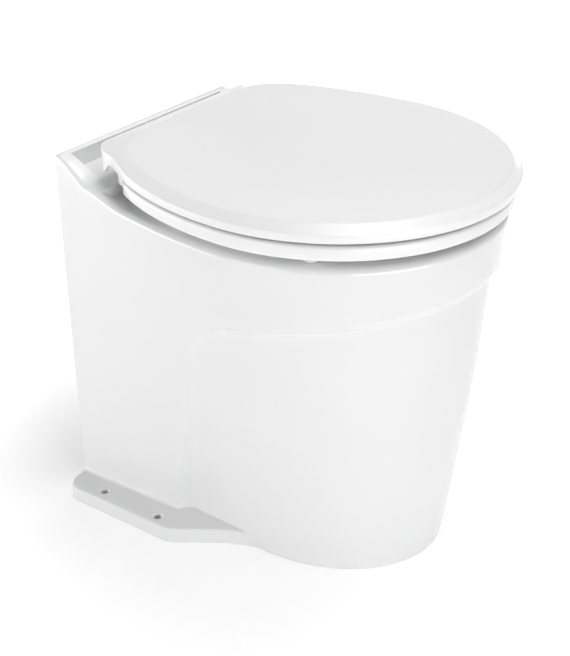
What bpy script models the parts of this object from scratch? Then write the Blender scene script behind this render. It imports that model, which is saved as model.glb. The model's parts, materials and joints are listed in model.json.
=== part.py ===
# Electric marine toilet: ceramic pan with a macerator pump inside, seat ring and lid.
# Metres, +Z up. The front points to -Y and the rear face, which stands against a bulkhead, to +Y.
# Places along the object are written as a depth, measured forward from the rear face.
import math

import bmesh
import bpy
from mathutils import Matrix, Vector

# Overall form
LENGTH = 0.435
LID_WIDTH = 0.370
RIM_HEIGHT = 0.380
FIT = 0.0003
RUNNING_FIT = 0.0001
OVERRUN = 0.005

# Pan: plan outline at the rim and at the foot
REAR_HALF_WIDTH = 0.1365
REAR_FOOT_HALF_WIDTH = 0.133
REAR_CORNER_RADIUS = 0.002
WIDEST_DEPTH = 0.244
RIM_HALF_WIDTH = 0.177
RIM_TIP_DEPTH = 0.427
HEEL_TOE_IN = 0.011
FOOT_HALF_WIDTH = 0.113
FOOT_TIP_DEPTH = 0.384
SIDE_FULLNESS_SHARE = 1.3
BLOCK_BULGE_SHARE = 0.4
PEDESTAL_BULGE_SHARE = 0.4
PEDESTAL_WAIST_SHARE = 0.06

# Pan: the recess under the band and beside the rear block
LEDGE_DROP = 0.082
LEDGE_HEIGHT = RIM_HEIGHT - LEDGE_DROP
LEDGE_RISE = 0.029
LEDGE_SETBACK = 0.012
RECESS_FOOT_DEPTH = 0.132
RECESS_LEAN_SHARE = 0.25
RECESS_CORNER_RADIUS = 0.030
GROOVE_WIDTH = 0.014

# Pan: rear upstand, side horns and deck
UPSTAND_HEIGHT = 0.027
UPSTAND_THICKNESS = 0.009
DECK_RISE = 0.008
HORN_START_DEPTH = 0.012
HORN_END_DEPTH = 0.040
DECK_END_DEPTH = 0.072
DECK_STEP = 0.003
EDGE_FALL_DEPTH = 0.110
REAR_EDGE_RADIUS = 0.003
EDGE_RADIUS = 0.007
RIM_LIP = 0.014
DECK_CLEARANCE = 0.0007
HORN_THICKNESS = 0.015

# Pan: walls, cavity and service opening
PAN_WALL = 0.010
RIM_THICKNESS = 0.014
OPENING_HALF_WIDTH = 0.116
OPENING_DROP = 0.080
OPENING_HEIGHT = RIM_HEIGHT - OPENING_DROP
OPENING_CORNER_RADIUS = 0.030

# Pan: floor flange
FLANGE_HALF_WIDTH = 0.166
FLANGE_THICKNESS = 0.018
FLANGE_CORNER_RADIUS = 0.020
FLANGE_TOE_IN = 0.0025
FLANGE_TURN_DEPTH = 0.146
FLANGE_END_DEPTH = 0.250
FLANGE_TURN_SHARE = 0.75
FLANGE_EDGE_RADIUS = 0.0025
FLANGE_SINK = 0.0008
FLOOR_HOLE_RADIUS = 0.00375
FLOOR_HOLE_SPREAD = 0.151
FLOOR_HOLE_DEPTH = 0.048
FLOOR_HOLE_SPACING = 0.079
COUNTERSINK_DEPTH = 0.002
COUNTERSINK_GROWTH = 0.002

# Bowl, sump and throat
BOWL_HALF_WIDTH = 0.118
BOWL_HALF_LENGTH = 0.135
BOWL_CENTRE_DEPTH = 0.262
BOWL_LIP_RADIUS = 0.006
BOWL_WALL = 0.009
SUMP_RADIUS = 0.034
SUMP_CENTRE_DEPTH = 0.208
SUMP_FLOOR_RADIUS = 0.022
SUMP_CLEARANCE = 0.004
SUMP_STEP = 0.006
PUMP_AXIS_HEIGHT = 0.148
PUMP_FLANGE_RADIUS = 0.053
THROAT_RADIUS = 0.028
THROAT_LENGTH = 0.015
THROAT_FLANGE_THICKNESS = 0.010
THROAT_FACE_DEPTH = SUMP_CENTRE_DEPTH - SUMP_RADIUS - BOWL_WALL - THROAT_LENGTH
SUMP_TOP_HEIGHT = PUMP_AXIS_HEIGHT + PUMP_FLANGE_RADIUS + SUMP_CLEARANCE
SUMP_BOTTOM_HEIGHT = PUMP_AXIS_HEIGHT - THROAT_RADIUS - SUMP_STEP

# Seat ring
SEAT_INSET = 0.004
SEAT_GAP = 0.0093
SEAT_BOTTOM_HEIGHT = RIM_HEIGHT + SEAT_GAP
SEAT_THICKNESS = 0.0152
SEAT_CROWN = 0.0022
SEAT_EDGE_RADIUS = 0.0035
SEAT_REAR_GAP = 0.002
SEAT_REAR_DEPTH = DECK_END_DEPTH + SEAT_REAR_GAP
SEAT_EAR_HALF_WIDTH = 0.131
SEAT_CORNER_RADIUS = 0.014
SEAT_HOLE_HALF_WIDTH = 0.108
SEAT_HOLE_HALF_LENGTH = 0.135
SEAT_HOLE_EDGE = 0.006

# Lid
LID_GAP = 0.004
LID_BEVEL_WIDTH = 0.0095
LID_BEVEL_HEIGHT = 0.007
LID_RIM_HEIGHT = 0.0085
LID_LOW_HEIGHT = SEAT_BOTTOM_HEIGHT + SEAT_THICKNESS + LID_GAP
LID_TOP_HEIGHT = LID_LOW_HEIGHT + LID_RIM_HEIGHT + LID_BEVEL_HEIGHT
LID_EDGE_RADIUS = 0.0013
LID_WALL = 0.0045
LID_REAR_SPAN = 0.245
LID_STRAIGHT_DEPTH = 0.118
LID_EAR_HALF_WIDTH = 0.133
LID_CORNER_RADIUS = 0.018
LID_REAR_DEPTH = 0.052
LID_RISE = 0.009
LID_RISE_START_DEPTH = 0.230
SKIRT_DROP = 0.017
SKIRT_END_DEPTH = 0.061
SKIRT_ARCH_LENGTH = 0.010

# Hinges
HINGE_SETBACK = 0.010
HINGE_DEPTH = LID_REAR_DEPTH + HINGE_SETBACK
HINGE_LIFT = 0.014
HINGE_HEIGHT = RIM_HEIGHT + DECK_RISE + HINGE_LIFT
HINGE_PIN_RADIUS = 0.005
HINGE_BORE_WALL = 0.0035
HINGE_ARM_START = 0.044
HINGE_ARM_WIDTH = 0.015
HINGE_GAP = 0.001
HINGE_NOTCH_ROOM = 0.002
HINGE_POST_WIDTH = 0.022
HINGE_LUG_WIDTH = 0.015
POST_BASE_LENGTH = 2 * (DECK_END_DEPTH - HINGE_DEPTH)
POST_BASE_THICKNESS = 0.004
STUD_RADIUS = 0.0038
STUD_SEAT = 0.0055
STUD_TAIL = 0.004
WASHER_RADIUS = 0.012
WASHER_THICKNESS = 0.003
WING_NUT_RADIUS = 0.008
WING_NUT_HEIGHT = 0.009
WING_SPAN = 0.017
WING_THICKNESS = 0.004

# Bumpers
BUMPER_RADIUS = 0.009
BUMPER_TAPER = 0.001
BUMPER_EDGE_INSET = 0.023
LID_BUMPER_RADIUS = 0.005
LID_BUMPER_EDGE_INSET = 0.024
BUMPER_ANGLES = (58.0, 112.0)

# Rinse nozzle and its hose
NOZZLE_DROP = 0.035
NOZZLE_HEIGHT = RIM_HEIGHT - NOZZLE_DROP
NOZZLE_RADIUS = 0.0100
NOZZLE_BORE_RADIUS = 0.0035
NOZZLE_HEAD_RADIUS = 0.017
NOZZLE_HEAD_THICKNESS = 0.004
NOZZLE_STAND_OFF = 0.002
NOZZLE_NUT_RADIUS = 0.016
NOZZLE_NUT_THICKNESS = 0.008
NOZZLE_TAIL = 0.006
BARB_RADIUS = 0.0055
BARB_LENGTH = 0.016
BARB_BORE_RADIUS = 0.0032
HOSE_WALL = 0.0027
HOSE_SWING = 0.045
HOSE_STEPS = 7
CLIP_WALL = 0.0012
CLIP_WIDTH = 0.006
CLIP_EAR = 0.005

# Macerator pump and motor, all on one axis
GASKET_THICKNESS = 0.0035
GASKET_RADIUS = 0.0385
HOUSING_FLANGE = 0.007
CHAMBER_RADIUS = 0.031
CHAMBER_WALL = 0.005
CHAMBER_LENGTH = 0.0425
CHAMBER_FLOOR = 0.006
BOLT_CIRCLE_RADIUS = 0.0450
BOLT_RADIUS = 0.003
BOLT_HEAD_RADIUS = 0.0055
BOLT_HEAD_HEIGHT = 0.005
BOLT_TAIL = 0.002
PORT_RADIUS = 0.011
PORT_WALL = 0.004
PORT_REACH = 0.062
COLLAR_RADIUS = 0.0195
COLLAR_WIDTH = 0.006
SHAFT_RADIUS = 0.004
SEAL_RADIUS = 0.009
MOTOR_RADIUS = 0.034
MOTOR_WALL = 0.002
MOTOR_LENGTH = 0.058
MOTOR_FACE = 0.007
MOTOR_CAP = 0.009
BEARING_RADIUS = 0.0100
BEARING_WIDTH = 0.006
ORING_THICKNESS = 0.002
ORING_WIDTH = 0.004
ROTOR_RADIUS = 0.0235
ROTOR_LENGTH = 0.036
MAGNET_THICKNESS = 0.005
AIR_GAP = 0.001
COMMUTATOR_RADIUS = 0.012
COMMUTATOR_LENGTH = 0.008
IMPELLER_RADIUS = 0.0285
IMPELLER_DISC = 0.002
IMPELLER_BLADE_HEIGHT = 0.008
IMPELLER_BLADE_THICKNESS = 0.0025
IMPELLER_BLADES = 5
HUB_RADIUS = 0.008
PLATE_THICKNESS = 0.0025
PLATE_HOLE_RADIUS = 0.0065
PLATE_HOLES = 6
BLADE_THICKNESS = 0.003
BLADE_WIDTH = 0.012
BLADE_NUT_HEIGHT = 0.005
RUNNING_GAP = 0.0015

# Discharge
JOKER_FLANGE = 0.003
JOKER_LENGTH = 0.020
JOKER_TIP_RADIUS = 0.004
JOKER_WALL = 0.002
ELBOW_RADIUS = 0.0185
ELBOW_BORE_RADIUS = 0.0145
ELBOW_STUB = 0.010
ELBOW_BEND_RADIUS = 0.019
ELBOW_END_DEPTH = 0.008
BAND_WALL = 0.0025
BAND_LUG = 0.008

# Bracket, inlet valve and terminal box
BRACKET_THICKNESS = 0.002
BRACKET_HALF_WIDTH = 0.060
BRACKET_SHELF_HEIGHT = 0.206
BRACKET_FOOT_HEIGHT = 0.172
BRACKET_SHELF_LENGTH = 0.070
VALVE_OFFSET = 0.037
VALVE_WIDTH = 0.034
VALVE_LENGTH = 0.030
VALVE_HEIGHT = 0.030
VALVE_DEPTH = 0.092
COIL_RADIUS = 0.0135
COIL_LENGTH = 0.028
COIL_CAP_RADIUS = 0.006
COIL_CAP_LENGTH = 0.004
BOX_WIDTH = 0.046
BOX_HEIGHT = 0.040
BOX_LENGTH = 0.028
BOX_EDGE = 0.003
GLAND_RADIUS = 0.006
GLAND_LENGTH = 0.009
CABLE_RADIUS = 0.0028
CABLE_SWING = 0.025

REAR_Y = LENGTH / 2
SMOOTH_ANGLE = math.radians(35)
WELD_DISTANCE = 0.00003
ROUND_STEPS = 16
WIDE_STEPS = 20
BOLT_STEPS = 6


def ease(t):
    t = min(max(t, 0.0), 1.0)
    return t * t * (3 - 2 * t)


def lerp(a, b, t):
    return a + (b - a) * t


def at(x, depth, z):
    """A point of the object from its side offset, depth and height."""
    return Vector((x, REAR_Y - depth, z))


# Materials and objects


def material(name, colour, roughness, metallic=0.0):
    found = bpy.data.materials.get(name)
    if found:
        return found
    made = bpy.data.materials.new(name)
    made.use_nodes = True
    shader = made.node_tree.nodes["Principled BSDF"]
    shader.inputs["Base Color"].default_value = (*colour, 1.0)
    shader.inputs["Roughness"].default_value = roughness
    shader.inputs["Metallic"].default_value = metallic
    return made


def ceramic():
    return material("glazed_ceramic", (0.86, 0.86, 0.85), 0.12)


def seat_plastic():
    return material("seat_plastic", (0.88, 0.88, 0.88), 0.22)


def black_plastic():
    return material("black_plastic", (0.03, 0.03, 0.035), 0.45)


def grey_plastic():
    return material("grey_plastic", (0.35, 0.36, 0.37), 0.5)


def rubber():
    return material("rubber", (0.05, 0.05, 0.05), 0.8)


def pale_rubber():
    return material("pale_rubber", (0.75, 0.75, 0.74), 0.6)


def steel():
    return material("stainless_steel", (0.62, 0.62, 0.63), 0.28, 1.0)


def painted_steel():
    return material("motor_paint", (0.06, 0.07, 0.08), 0.4, 0.2)


def magnet():
    return material("ferrite", (0.12, 0.12, 0.13), 0.7)


def copper():
    return material("winding_copper", (0.6, 0.28, 0.14), 0.35, 1.0)


def add(name, bm, look, origin=Vector((0, 0, 0))):
    """Makes a finished object of a bmesh, with its origin at the given point."""
    bmesh.ops.recalc_face_normals(bm, faces=bm.faces)
    bmesh.ops.translate(bm, verts=bm.verts, vec=-origin)
    mesh = bpy.data.meshes.new(name)
    bm.to_mesh(mesh)
    bm.free()
    mesh.shade_smooth()
    mesh.set_sharp_from_angle(angle=SMOOTH_ANGLE)
    mesh.materials.append(look)
    made = bpy.data.objects.new(name, mesh)
    made.location = origin
    bpy.context.scene.collection.objects.link(made)
    return made


def tool(name, bm):
    """A cutter or a piece to be joined on, left out of the finished object."""
    made = add(name, bm, grey_plastic())
    made.hide_render = True
    made.display_type = "WIRE"
    return made


def combine(target, other, operation):
    modifier = target.modifiers.new(other.name, "BOOLEAN")
    modifier.operation = operation
    modifier.solver = "EXACT"
    modifier.object = other


def cut(target, *others):
    for other in others:
        combine(target, other, "DIFFERENCE")


def join(target, *others):
    for other in others:
        combine(target, other, "UNION")


def weld(target):
    """Closes the slivers that crossing faces leave, so that the next cut works on clean faces."""
    modifier = target.modifiers.new("weld", "WELD")
    modifier.merge_threshold = WELD_DISTANCE


# Shapes


def flat_cap(bm, row):
    bm.faces.new(row)


def strip_cap(bm, row):
    """Covers a mirrored outline with strips that run from side to side, so that it may curve in depth."""
    n = len(row)
    middle = n // 2
    bm.faces.new((row[0], row[1], row[-1]))
    for k in range(1, middle - 2):
        bm.faces.new((row[k], row[k + 1], row[n - k - 1], row[n - k]))
    bm.faces.new(row[middle - 2:middle + 3])


def loft(loops, ring=False, cap=flat_cap):
    """A closed skin over loops of equal length, capped at both ends or joined into a ring."""
    bm = bmesh.new()
    rows = [[bm.verts.new(point) for point in loop] for loop in loops]
    pairs = list(zip(rows, rows[1:]))
    if ring:
        pairs.append((rows[-1], rows[0]))
    for low, high in pairs:
        for i in range(len(low)):
            j = (i + 1) % len(low)
            bm.faces.new((low[i], low[j], high[j], high[i]))
    if not ring:
        cap(bm, rows[0])
        cap(bm, rows[-1])
    bmesh.ops.triangulate(bm, faces=bm.faces)
    return bm


def turn(profile, start, direction, steps=ROUND_STEPS, phase=0.0):
    """A lathe form. The profile is (radius, distance along); without a point on the axis it is a ring."""
    frame = Vector((0, 0, 1)).rotation_difference(direction).to_matrix()
    bm = bmesh.new()
    rows = []
    for radius, along in profile:
        if radius == 0:
            rows.append([bm.verts.new(start + direction * along)])
            continue
        row = []
        for i in range(steps):
            a = phase + 2 * math.pi * i / steps
            offset = frame @ Vector((radius * math.cos(a), radius * math.sin(a), along))
            row.append(bm.verts.new(start + offset))
        rows.append(row)
    pairs = list(zip(rows, rows[1:]))
    if profile[0][0] != 0:
        pairs.append((rows[-1], rows[0]))
    for low, high in pairs:
        for i in range(steps):
            j = (i + 1) % steps
            corners = [low[i % len(low)], low[j % len(low)], high[j % len(high)], high[i % len(high)]]
            unique = [v for k, v in enumerate(corners) if v not in corners[:k]]
            bm.faces.new(unique)
    return bm


def rod(radius, start, direction, length, steps=ROUND_STEPS, phase=0.0):
    return turn([(0, 0), (radius, 0), (radius, length), (0, length)], start, direction, steps, phase)


def collar(inner, outer, start, direction, length, steps=ROUND_STEPS):
    return turn([(inner, 0), (outer, 0), (outer, length), (inner, length)], start, direction, steps)


def block(low, high):
    bm = bmesh.new()
    bmesh.ops.create_cube(bm, size=1.0)
    middle = (low + high) / 2
    for v in bm.verts:
        v.co = Vector(c * s for c, s in zip(v.co, high - low)) + middle
    return bm


def rounded_block(low, high, radius):
    bm = block(low, high)
    bmesh.ops.bevel(bm, geom=bm.edges[:], offset=radius, segments=2, profile=0.5, affect="EDGES")
    return bm


def bend(start, leave, end, arrive, steps):
    """Points of a curve that leaves one point and arrives at another along given vectors."""
    path = []
    for i in range(steps + 1):
        t = i / steps
        back = 1 - t
        near = start * back ** 3 + (start + leave) * 3 * back ** 2 * t
        path.append(near + (end - arrive) * 3 * back * t ** 2 + end * t ** 3)
    return path


def sweep(path, radius, bore=0.0, steps=12):
    """A round rod along a path, or a tube where it has a bore."""
    tangents = []
    for i in range(len(path)):
        ahead = path[min(i + 1, len(path) - 1)]
        behind = path[max(i - 1, 0)]
        tangents.append((ahead - behind).normalized())
    side = tangents[0].orthogonal().normalized()
    frames = []
    for tangent in tangents:
        side = (side - tangent * side.dot(tangent)).normalized()
        frames.append((side, tangent.cross(side)))

    def ring_at(i, r):
        u, v = frames[i]
        angles = [2 * math.pi * k / steps for k in range(steps)]
        return [path[i] + (u * math.cos(a) + v * math.sin(a)) * r for a in angles]

    outer = [ring_at(i, radius) for i in range(len(path))]
    if bore == 0:
        return loft(outer)
    inner = [ring_at(i, bore) for i in range(len(path))]
    return loft(outer + inner[::-1], ring=True)


# Pan outline


def rim_side(depth):
    """Half width of the rim behind its widest place."""
    share = math.sin(math.pi / 2 * min(depth / WIDEST_DEPTH, 1.0))
    return lerp(REAR_HALF_WIDTH, RIM_HALF_WIDTH, share ** SIDE_FULLNESS_SHARE)


def bulged(t, bulge):
    """A share of the way up a side that swells out by a bulge on its way."""
    t = min(max(t, 0.0), 1.0)
    return t * (1 + bulge * (1 - t))


def flare(z):
    return bulged((z - FLANGE_THICKNESS) / (RIM_HEIGHT - FLANGE_THICKNESS), BLOCK_BULGE_SHARE)


def block_side(depth, z):
    """Half width of the rear block and the band at a depth and height."""
    foot = REAR_FOOT_HALF_WIDTH - HEEL_TOE_IN * depth / WIDEST_DEPTH
    return lerp(foot, rim_side(depth), flare(z))


def pedestal_size(z):
    """Half width and tip depth of the recessed pedestal at a height."""
    grown = bulged(z / (LEDGE_HEIGHT + LEDGE_RISE), PEDESTAL_BULGE_SHARE)
    width = lerp(FOOT_HALF_WIDTH, RIM_HALF_WIDTH - LEDGE_SETBACK, grown)
    tip = lerp(FOOT_TIP_DEPTH, RIM_TIP_DEPTH - LEDGE_SETBACK, grown)
    return width, tip


def recess_edge(z):
    return RECESS_FOOT_DEPTH + RECESS_LEAN_SHARE * min(z, LEDGE_HEIGHT)


def ledge(depth):
    ahead = max(depth - WIDEST_DEPTH, 0.0) / (RIM_TIP_DEPTH - WIDEST_DEPTH)
    return LEDGE_HEIGHT + LEDGE_RISE * ahead


def proudness(depth, z):
    """1 on the rear block and band, 0 on the pedestal, with a hollow between them."""
    into = depth - recess_edge(z)
    below = ledge(depth) - z
    inside = min(into, below)
    if inside > 0 and max(into, below) < RECESS_CORNER_RADIUS:
        gap = math.hypot(RECESS_CORNER_RADIUS - into, RECESS_CORNER_RADIUS - below)
        inside = RECESS_CORNER_RADIUS - gap
    t = min(max(inside / GROOVE_WIDTH, 0.0), 1.0)
    return (1 - t) ** 2


REAR_SHARES = (0.0, 0.5)
BLOCK_SHARES = (0.12, 0.26, 0.5, 0.75, 1.0)
GROOVE_SHARES = (0.3, 0.65, 1.0, 1.9)
FLANK_SHARES = (0.5, 1.0)
FRONT_STEPS = 11


def edge_radius(depth):
    """Rounding of the pan's top edge: crisp on the upstand and horns, softer round the rim."""
    forward = ease((depth - HORN_END_DEPTH) / (EDGE_FALL_DEPTH - HORN_END_DEPTH))
    return lerp(REAR_EDGE_RADIUS, EDGE_RADIUS, forward)


def half_outline(z, inset=0.0, turned=0.0):
    """Points (x, depth) from the middle of the rear to the front tip, at one height.

    They are moved inward by an inset and by a share of the top edge's rounding.
    """
    def inward(depth):
        return inset + turned * edge_radius(depth)

    points = []
    corner = REAR_CORNER_RADIUS
    back = inward(0)
    width = block_side(0, z) - back
    for share in REAR_SHARES:
        points.append((width * share, back))
    for k in range(3):
        a = math.pi / 4 * k
        points.append((width - corner * (1 - math.sin(a)), back + corner * (1 - math.cos(a))))
    edge = recess_edge(z)
    start = back + corner
    depths = [lerp(start, edge, s) for s in BLOCK_SHARES]
    depths += [edge + GROOVE_WIDTH * s for s in GROOVE_SHARES]
    depths += [lerp(edge + GROOVE_WIDTH * GROOVE_SHARES[-1], WIDEST_DEPTH, s) for s in FLANK_SHARES]
    pedestal, tip = pedestal_size(z)
    for depth in depths:
        behind = 1 - depth / WIDEST_DEPTH
        slim = pedestal * (1 - PEDESTAL_WAIST_SHARE * behind ** 2)
        points.append((lerp(slim, block_side(depth, z), proudness(depth, z)) - inward(depth), depth))
    band_width = block_side(WIDEST_DEPTH, z)
    band_tip = lerp(FOOT_TIP_DEPTH, RIM_TIP_DEPTH, flare(z))
    for k in range(1, FRONT_STEPS + 1):
        a = math.pi / 2 * k / FRONT_STEPS
        spread = math.cos(a)
        reach = math.sin(a)
        proud = proudness(lerp(WIDEST_DEPTH, RIM_TIP_DEPTH, reach), z)
        half = lerp(pedestal, band_width, proud) - inward(WIDEST_DEPTH)
        length = lerp(tip, band_tip, proud) - inward(WIDEST_DEPTH) - WIDEST_DEPTH
        points.append((half * spread, WIDEST_DEPTH + length * reach))
    return points


def edge_height(depth):
    """Height of the outer top edge: upstand, horn curve, deck level, rim."""
    horn = ease((HORN_END_DEPTH - depth) / (HORN_END_DEPTH - HORN_START_DEPTH))
    deck = ease((EDGE_FALL_DEPTH - depth) / (EDGE_FALL_DEPTH - HORN_END_DEPTH))
    level = RIM_HEIGHT + (DECK_RISE - DECK_CLEARANCE) * deck
    return level + (UPSTAND_HEIGHT - DECK_RISE + DECK_CLEARANCE) * horn


def roof_height(depth):
    """Height of the pan's top inside its outer edge."""
    step = ease((DECK_END_DEPTH + DECK_STEP - depth) / DECK_STEP)
    deck = lerp(RIM_HEIGHT, edge_height(min(depth, HORN_END_DEPTH)), step)
    return deck


def mirror(half):
    """Closes a half outline whose first and last points lie on the middle plane."""
    return half + [(-x, d) for x, d in half[-2:0:-1]]


def level_rows(top_of, low_shares, groove_shares, high_shares):
    """Height of each row of the skin over a plan point, as functions of its depth."""
    rows = []
    for share in low_shares:
        rows.append(lambda d, s=share: (ledge(d) - GROOVE_WIDTH * GROOVE_SHARES[-1]) * s)
    for share in groove_shares:
        rows.append(lambda d, s=share: ledge(d) - GROOVE_WIDTH * s)
    rows.append(ledge)
    for share in high_shares:
        rows.append(lambda d, s=share: lerp(ledge(d), top_of(d), s))
    rows.append(top_of)
    return rows


def skin_row(height_of, inset=0.0, turned=0.0):
    """One closed loop of the skin. Its height may differ from column to column."""
    half = []
    for k, (_, depth) in enumerate(half_outline(LEDGE_HEIGHT, inset, turned)):
        z = height_of(depth)
        half.append((*half_outline(max(z, 0.0), inset, turned)[k], z))
    loop = [at(x, d, z) for x, d, z in half]
    return loop + [at(-x, d, z) for x, d, z in half[-2:0:-1]]


def roof(bm, row):
    """Covers the top with strips that run from side to side at equal depth."""
    n = len(row)
    rear = len(REAR_SHARES) + 2
    middle = n // 2
    bm.faces.new([row[-k] for k in range(rear, 0, -1)] + row[:rear + 1])
    for k in range(rear, middle - 1):
        bm.faces.new((row[k], row[k + 1], row[n - k - 1], row[n - k]))
    bm.faces.new((row[middle - 1], row[middle], row[middle + 1]))


def skin(rows):
    bm = bmesh.new()
    verts = [[bm.verts.new(p) for p in row] for row in rows]
    for low, high in zip(verts, verts[1:]):
        for i in range(len(low)):
            j = (i + 1) % len(low)
            bm.faces.new((low[i], low[j], high[j], high[i]))
    bm.faces.new(verts[0])
    roof(bm, verts[-1])
    bmesh.ops.triangulate(bm, faces=bm.faces)
    return bm


def pan_blank():
    low_shares = (0.0, 0.13, 0.3, 0.5, 0.7, 0.87)
    def side_top(depth):
        return edge_height(depth) - edge_radius(depth)

    rows = [skin_row(height) for height in level_rows(side_top, low_shares, GROOVE_SHARES[::-1], (0.4, 0.75))]
    fall = 1 - math.sin(math.pi / 4)
    rows.append(skin_row(lambda d: edge_height(d) - edge_radius(d) * fall, turned=fall))
    rows.append(skin_row(edge_height, turned=1.0))
    rows.append(skin_row(roof_height, RIM_LIP))
    return add("pan", skin(rows), ceramic())


def floor_flange():
    """The flange with its S-shaped sides, which run into the pedestal."""
    half = [(0, 0)]
    for k in range(5):
        a = math.pi / 2 * k / 4
        width = FLANGE_HALF_WIDTH - FLANGE_CORNER_RADIUS * (1 - math.sin(a))
        half.append((width, FLANGE_CORNER_RADIUS * (1 - math.cos(a))))
    turn_width = FLANGE_HALF_WIDTH - FLANGE_TOE_IN
    steps = 10
    for k in range(steps + 1):
        t = k / steps
        end_width = FOOT_HALF_WIDTH - FLANGE_SINK
        width = lerp(turn_width, end_width, ease(t ** FLANGE_TURN_SHARE))
        half.append((width, lerp(FLANGE_TURN_DEPTH, FLANGE_END_DEPTH, t)))
    half.append((0, FLANGE_END_DEPTH))
    outline = mirror(half)
    rows = [(0, 0), (FLANGE_THICKNESS - FLANGE_EDGE_RADIUS, 0), (FLANGE_THICKNESS, FLANGE_EDGE_RADIUS)]
    loops = []
    for z, inset in rows:
        loop = []
        for x, d in outline:
            width = max(abs(x) - inset, 0.0)
            depth = max(d, min(inset, d + inset)) if d < FLANGE_CORNER_RADIUS else d
            loop.append(at(math.copysign(width, x) if x else 0, depth, z))
        loops.append(loop)
    return tool("floor_flange", loft(loops))


def cavity_top():
    return RIM_HEIGHT - RIM_THICKNESS


def pan_cavity():
    rows = [skin_row(lambda d: -OVERRUN, PAN_WALL)]
    for height in level_rows(lambda d: cavity_top(), (0.2, 0.6), GROOVE_SHARES[::-2], (0.5,)):
        rows.append(skin_row(height, PAN_WALL))
    return tool("pan_cavity", skin(rows))


# Bowl: the basin of the same casting, kept as a solid of its own inside the pan's shell

BOWL_ROUND_SHARE = 2.0
BOWL_WALL_SHARE = 0.75
BOWL_DRIFT_SHARE = 1.5
BOWL_LEVEL_SHARES = (0.08, 0.2, 0.38, 0.58, 0.76, 0.9, 1.0)
BOWL_COLUMNS = 28


def bowl_section(t):
    """Half width, half length and centre depth of the bowl, from the rim (0) to the sump (1)."""
    share = (1 - t ** BOWL_ROUND_SHARE) ** BOWL_WALL_SHARE
    width = lerp(SUMP_RADIUS, BOWL_HALF_WIDTH, share)
    length = lerp(SUMP_RADIUS, BOWL_HALF_LENGTH, share)
    centre = lerp(BOWL_CENTRE_DEPTH, SUMP_CENTRE_DEPTH, t ** BOWL_DRIFT_SHARE)
    return width, length, centre


def bowl_rear_depth(z, x=0.0):
    """Depth of the bowl's inner face at the rear."""
    width, length, centre = bowl_section((RIM_HEIGHT - z) / (RIM_HEIGHT - SUMP_TOP_HEIGHT))
    return centre - length * math.sqrt(1 - (x / width) ** 2)


def bowl_loop(width, length, centre, z):
    loop = []
    for k in range(BOWL_COLUMNS):
        a = 2 * math.pi * k / BOWL_COLUMNS
        loop.append(at(width * math.sin(a), centre + length * math.cos(a), z))
    return loop


def bowl_form(wall, top):
    """The bowl and its sump, grown by a wall thickness."""
    loops = []
    if wall == 0:
        width, length, centre = bowl_section(0)
        flare_out = BOWL_LIP_RADIUS
        loops.append(bowl_loop(width + flare_out, length + flare_out, centre, top))
        loops.append(bowl_loop(width + flare_out, length + flare_out, centre, RIM_HEIGHT))
        soft = flare_out * (1 - math.sin(math.pi / 4))
        loops.append(bowl_loop(width + soft, length + soft, centre, RIM_HEIGHT - soft))
        loops.append(bowl_loop(width, length, centre, RIM_HEIGHT - flare_out))
    else:
        width, length, centre = bowl_section(0)
        for z in sorted({top, RIM_HEIGHT}, reverse=True):
            loops.append(bowl_loop(width + wall, length + wall, centre, z))
    for t in BOWL_LEVEL_SHARES:
        width, length, centre = bowl_section(t)
        z = lerp(RIM_HEIGHT, SUMP_TOP_HEIGHT, t)
        loops.append(bowl_loop(width + wall, length + wall, centre, z))
    low = SUMP_BOTTOM_HEIGHT - wall
    rise = SUMP_RADIUS - SUMP_FLOOR_RADIUS
    loops.append(bowl_loop(SUMP_RADIUS + wall, SUMP_RADIUS + wall, SUMP_CENTRE_DEPTH, low + rise))
    loops.append(bowl_loop(SUMP_FLOOR_RADIUS + wall, SUMP_FLOOR_RADIUS + wall, SUMP_CENTRE_DEPTH, low))
    return loft(loops)


REARWARD = Vector((0, 1, 0))
UP = Vector((0, 0, 1))
RIGHT = Vector((1, 0, 0))


def bowl_outside():
    bowl = add("bowl", bowl_form(BOWL_WALL, RIM_HEIGHT), ceramic())
    start = at(0, SUMP_CENTRE_DEPTH, PUMP_AXIS_HEIGHT)
    length = SUMP_CENTRE_DEPTH - THROAT_FACE_DEPTH - THROAT_FLANGE_THICKNESS / 2
    throat = tool("throat_outside", rod(THROAT_RADIUS + BOWL_WALL, start, REARWARD, length))
    face = at(0, THROAT_FACE_DEPTH + THROAT_FLANGE_THICKNESS, PUMP_AXIS_HEIGHT)
    flange = tool("throat_flange", rod(PUMP_FLANGE_RADIUS, face, REARWARD, THROAT_FLANGE_THICKNESS, WIDE_STEPS))
    join(throat, flange)
    join(bowl, throat)
    return bowl


def bowl_inside():
    return tool("bowl_inside", bowl_form(0.0, RIM_HEIGHT + OVERRUN))


def bowl_opening():
    """The opening in the pan's top that the bowl fills."""
    return tool("bowl_opening", bowl_form(BOWL_WALL + FIT, RIM_HEIGHT + OVERRUN))


def throat_inside():
    start = at(0, SUMP_CENTRE_DEPTH, PUMP_AXIS_HEIGHT)
    length = SUMP_CENTRE_DEPTH - THROAT_FACE_DEPTH + OVERRUN
    return tool("throat_inside", rod(THROAT_RADIUS, start, REARWARD, length))


# Cuts of the pan


def deck_pocket():
    """Hollows the horns out, so that they stand as walls round the rear of the deck."""
    low = at(-(REAR_HALF_WIDTH - HORN_THICKNESS), DECK_END_DEPTH, RIM_HEIGHT + DECK_RISE)
    high = at(REAR_HALF_WIDTH - HORN_THICKNESS, UPSTAND_THICKNESS, RIM_HEIGHT + UPSTAND_HEIGHT + OVERRUN)
    return tool("deck_pocket", block(low, high))


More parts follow.
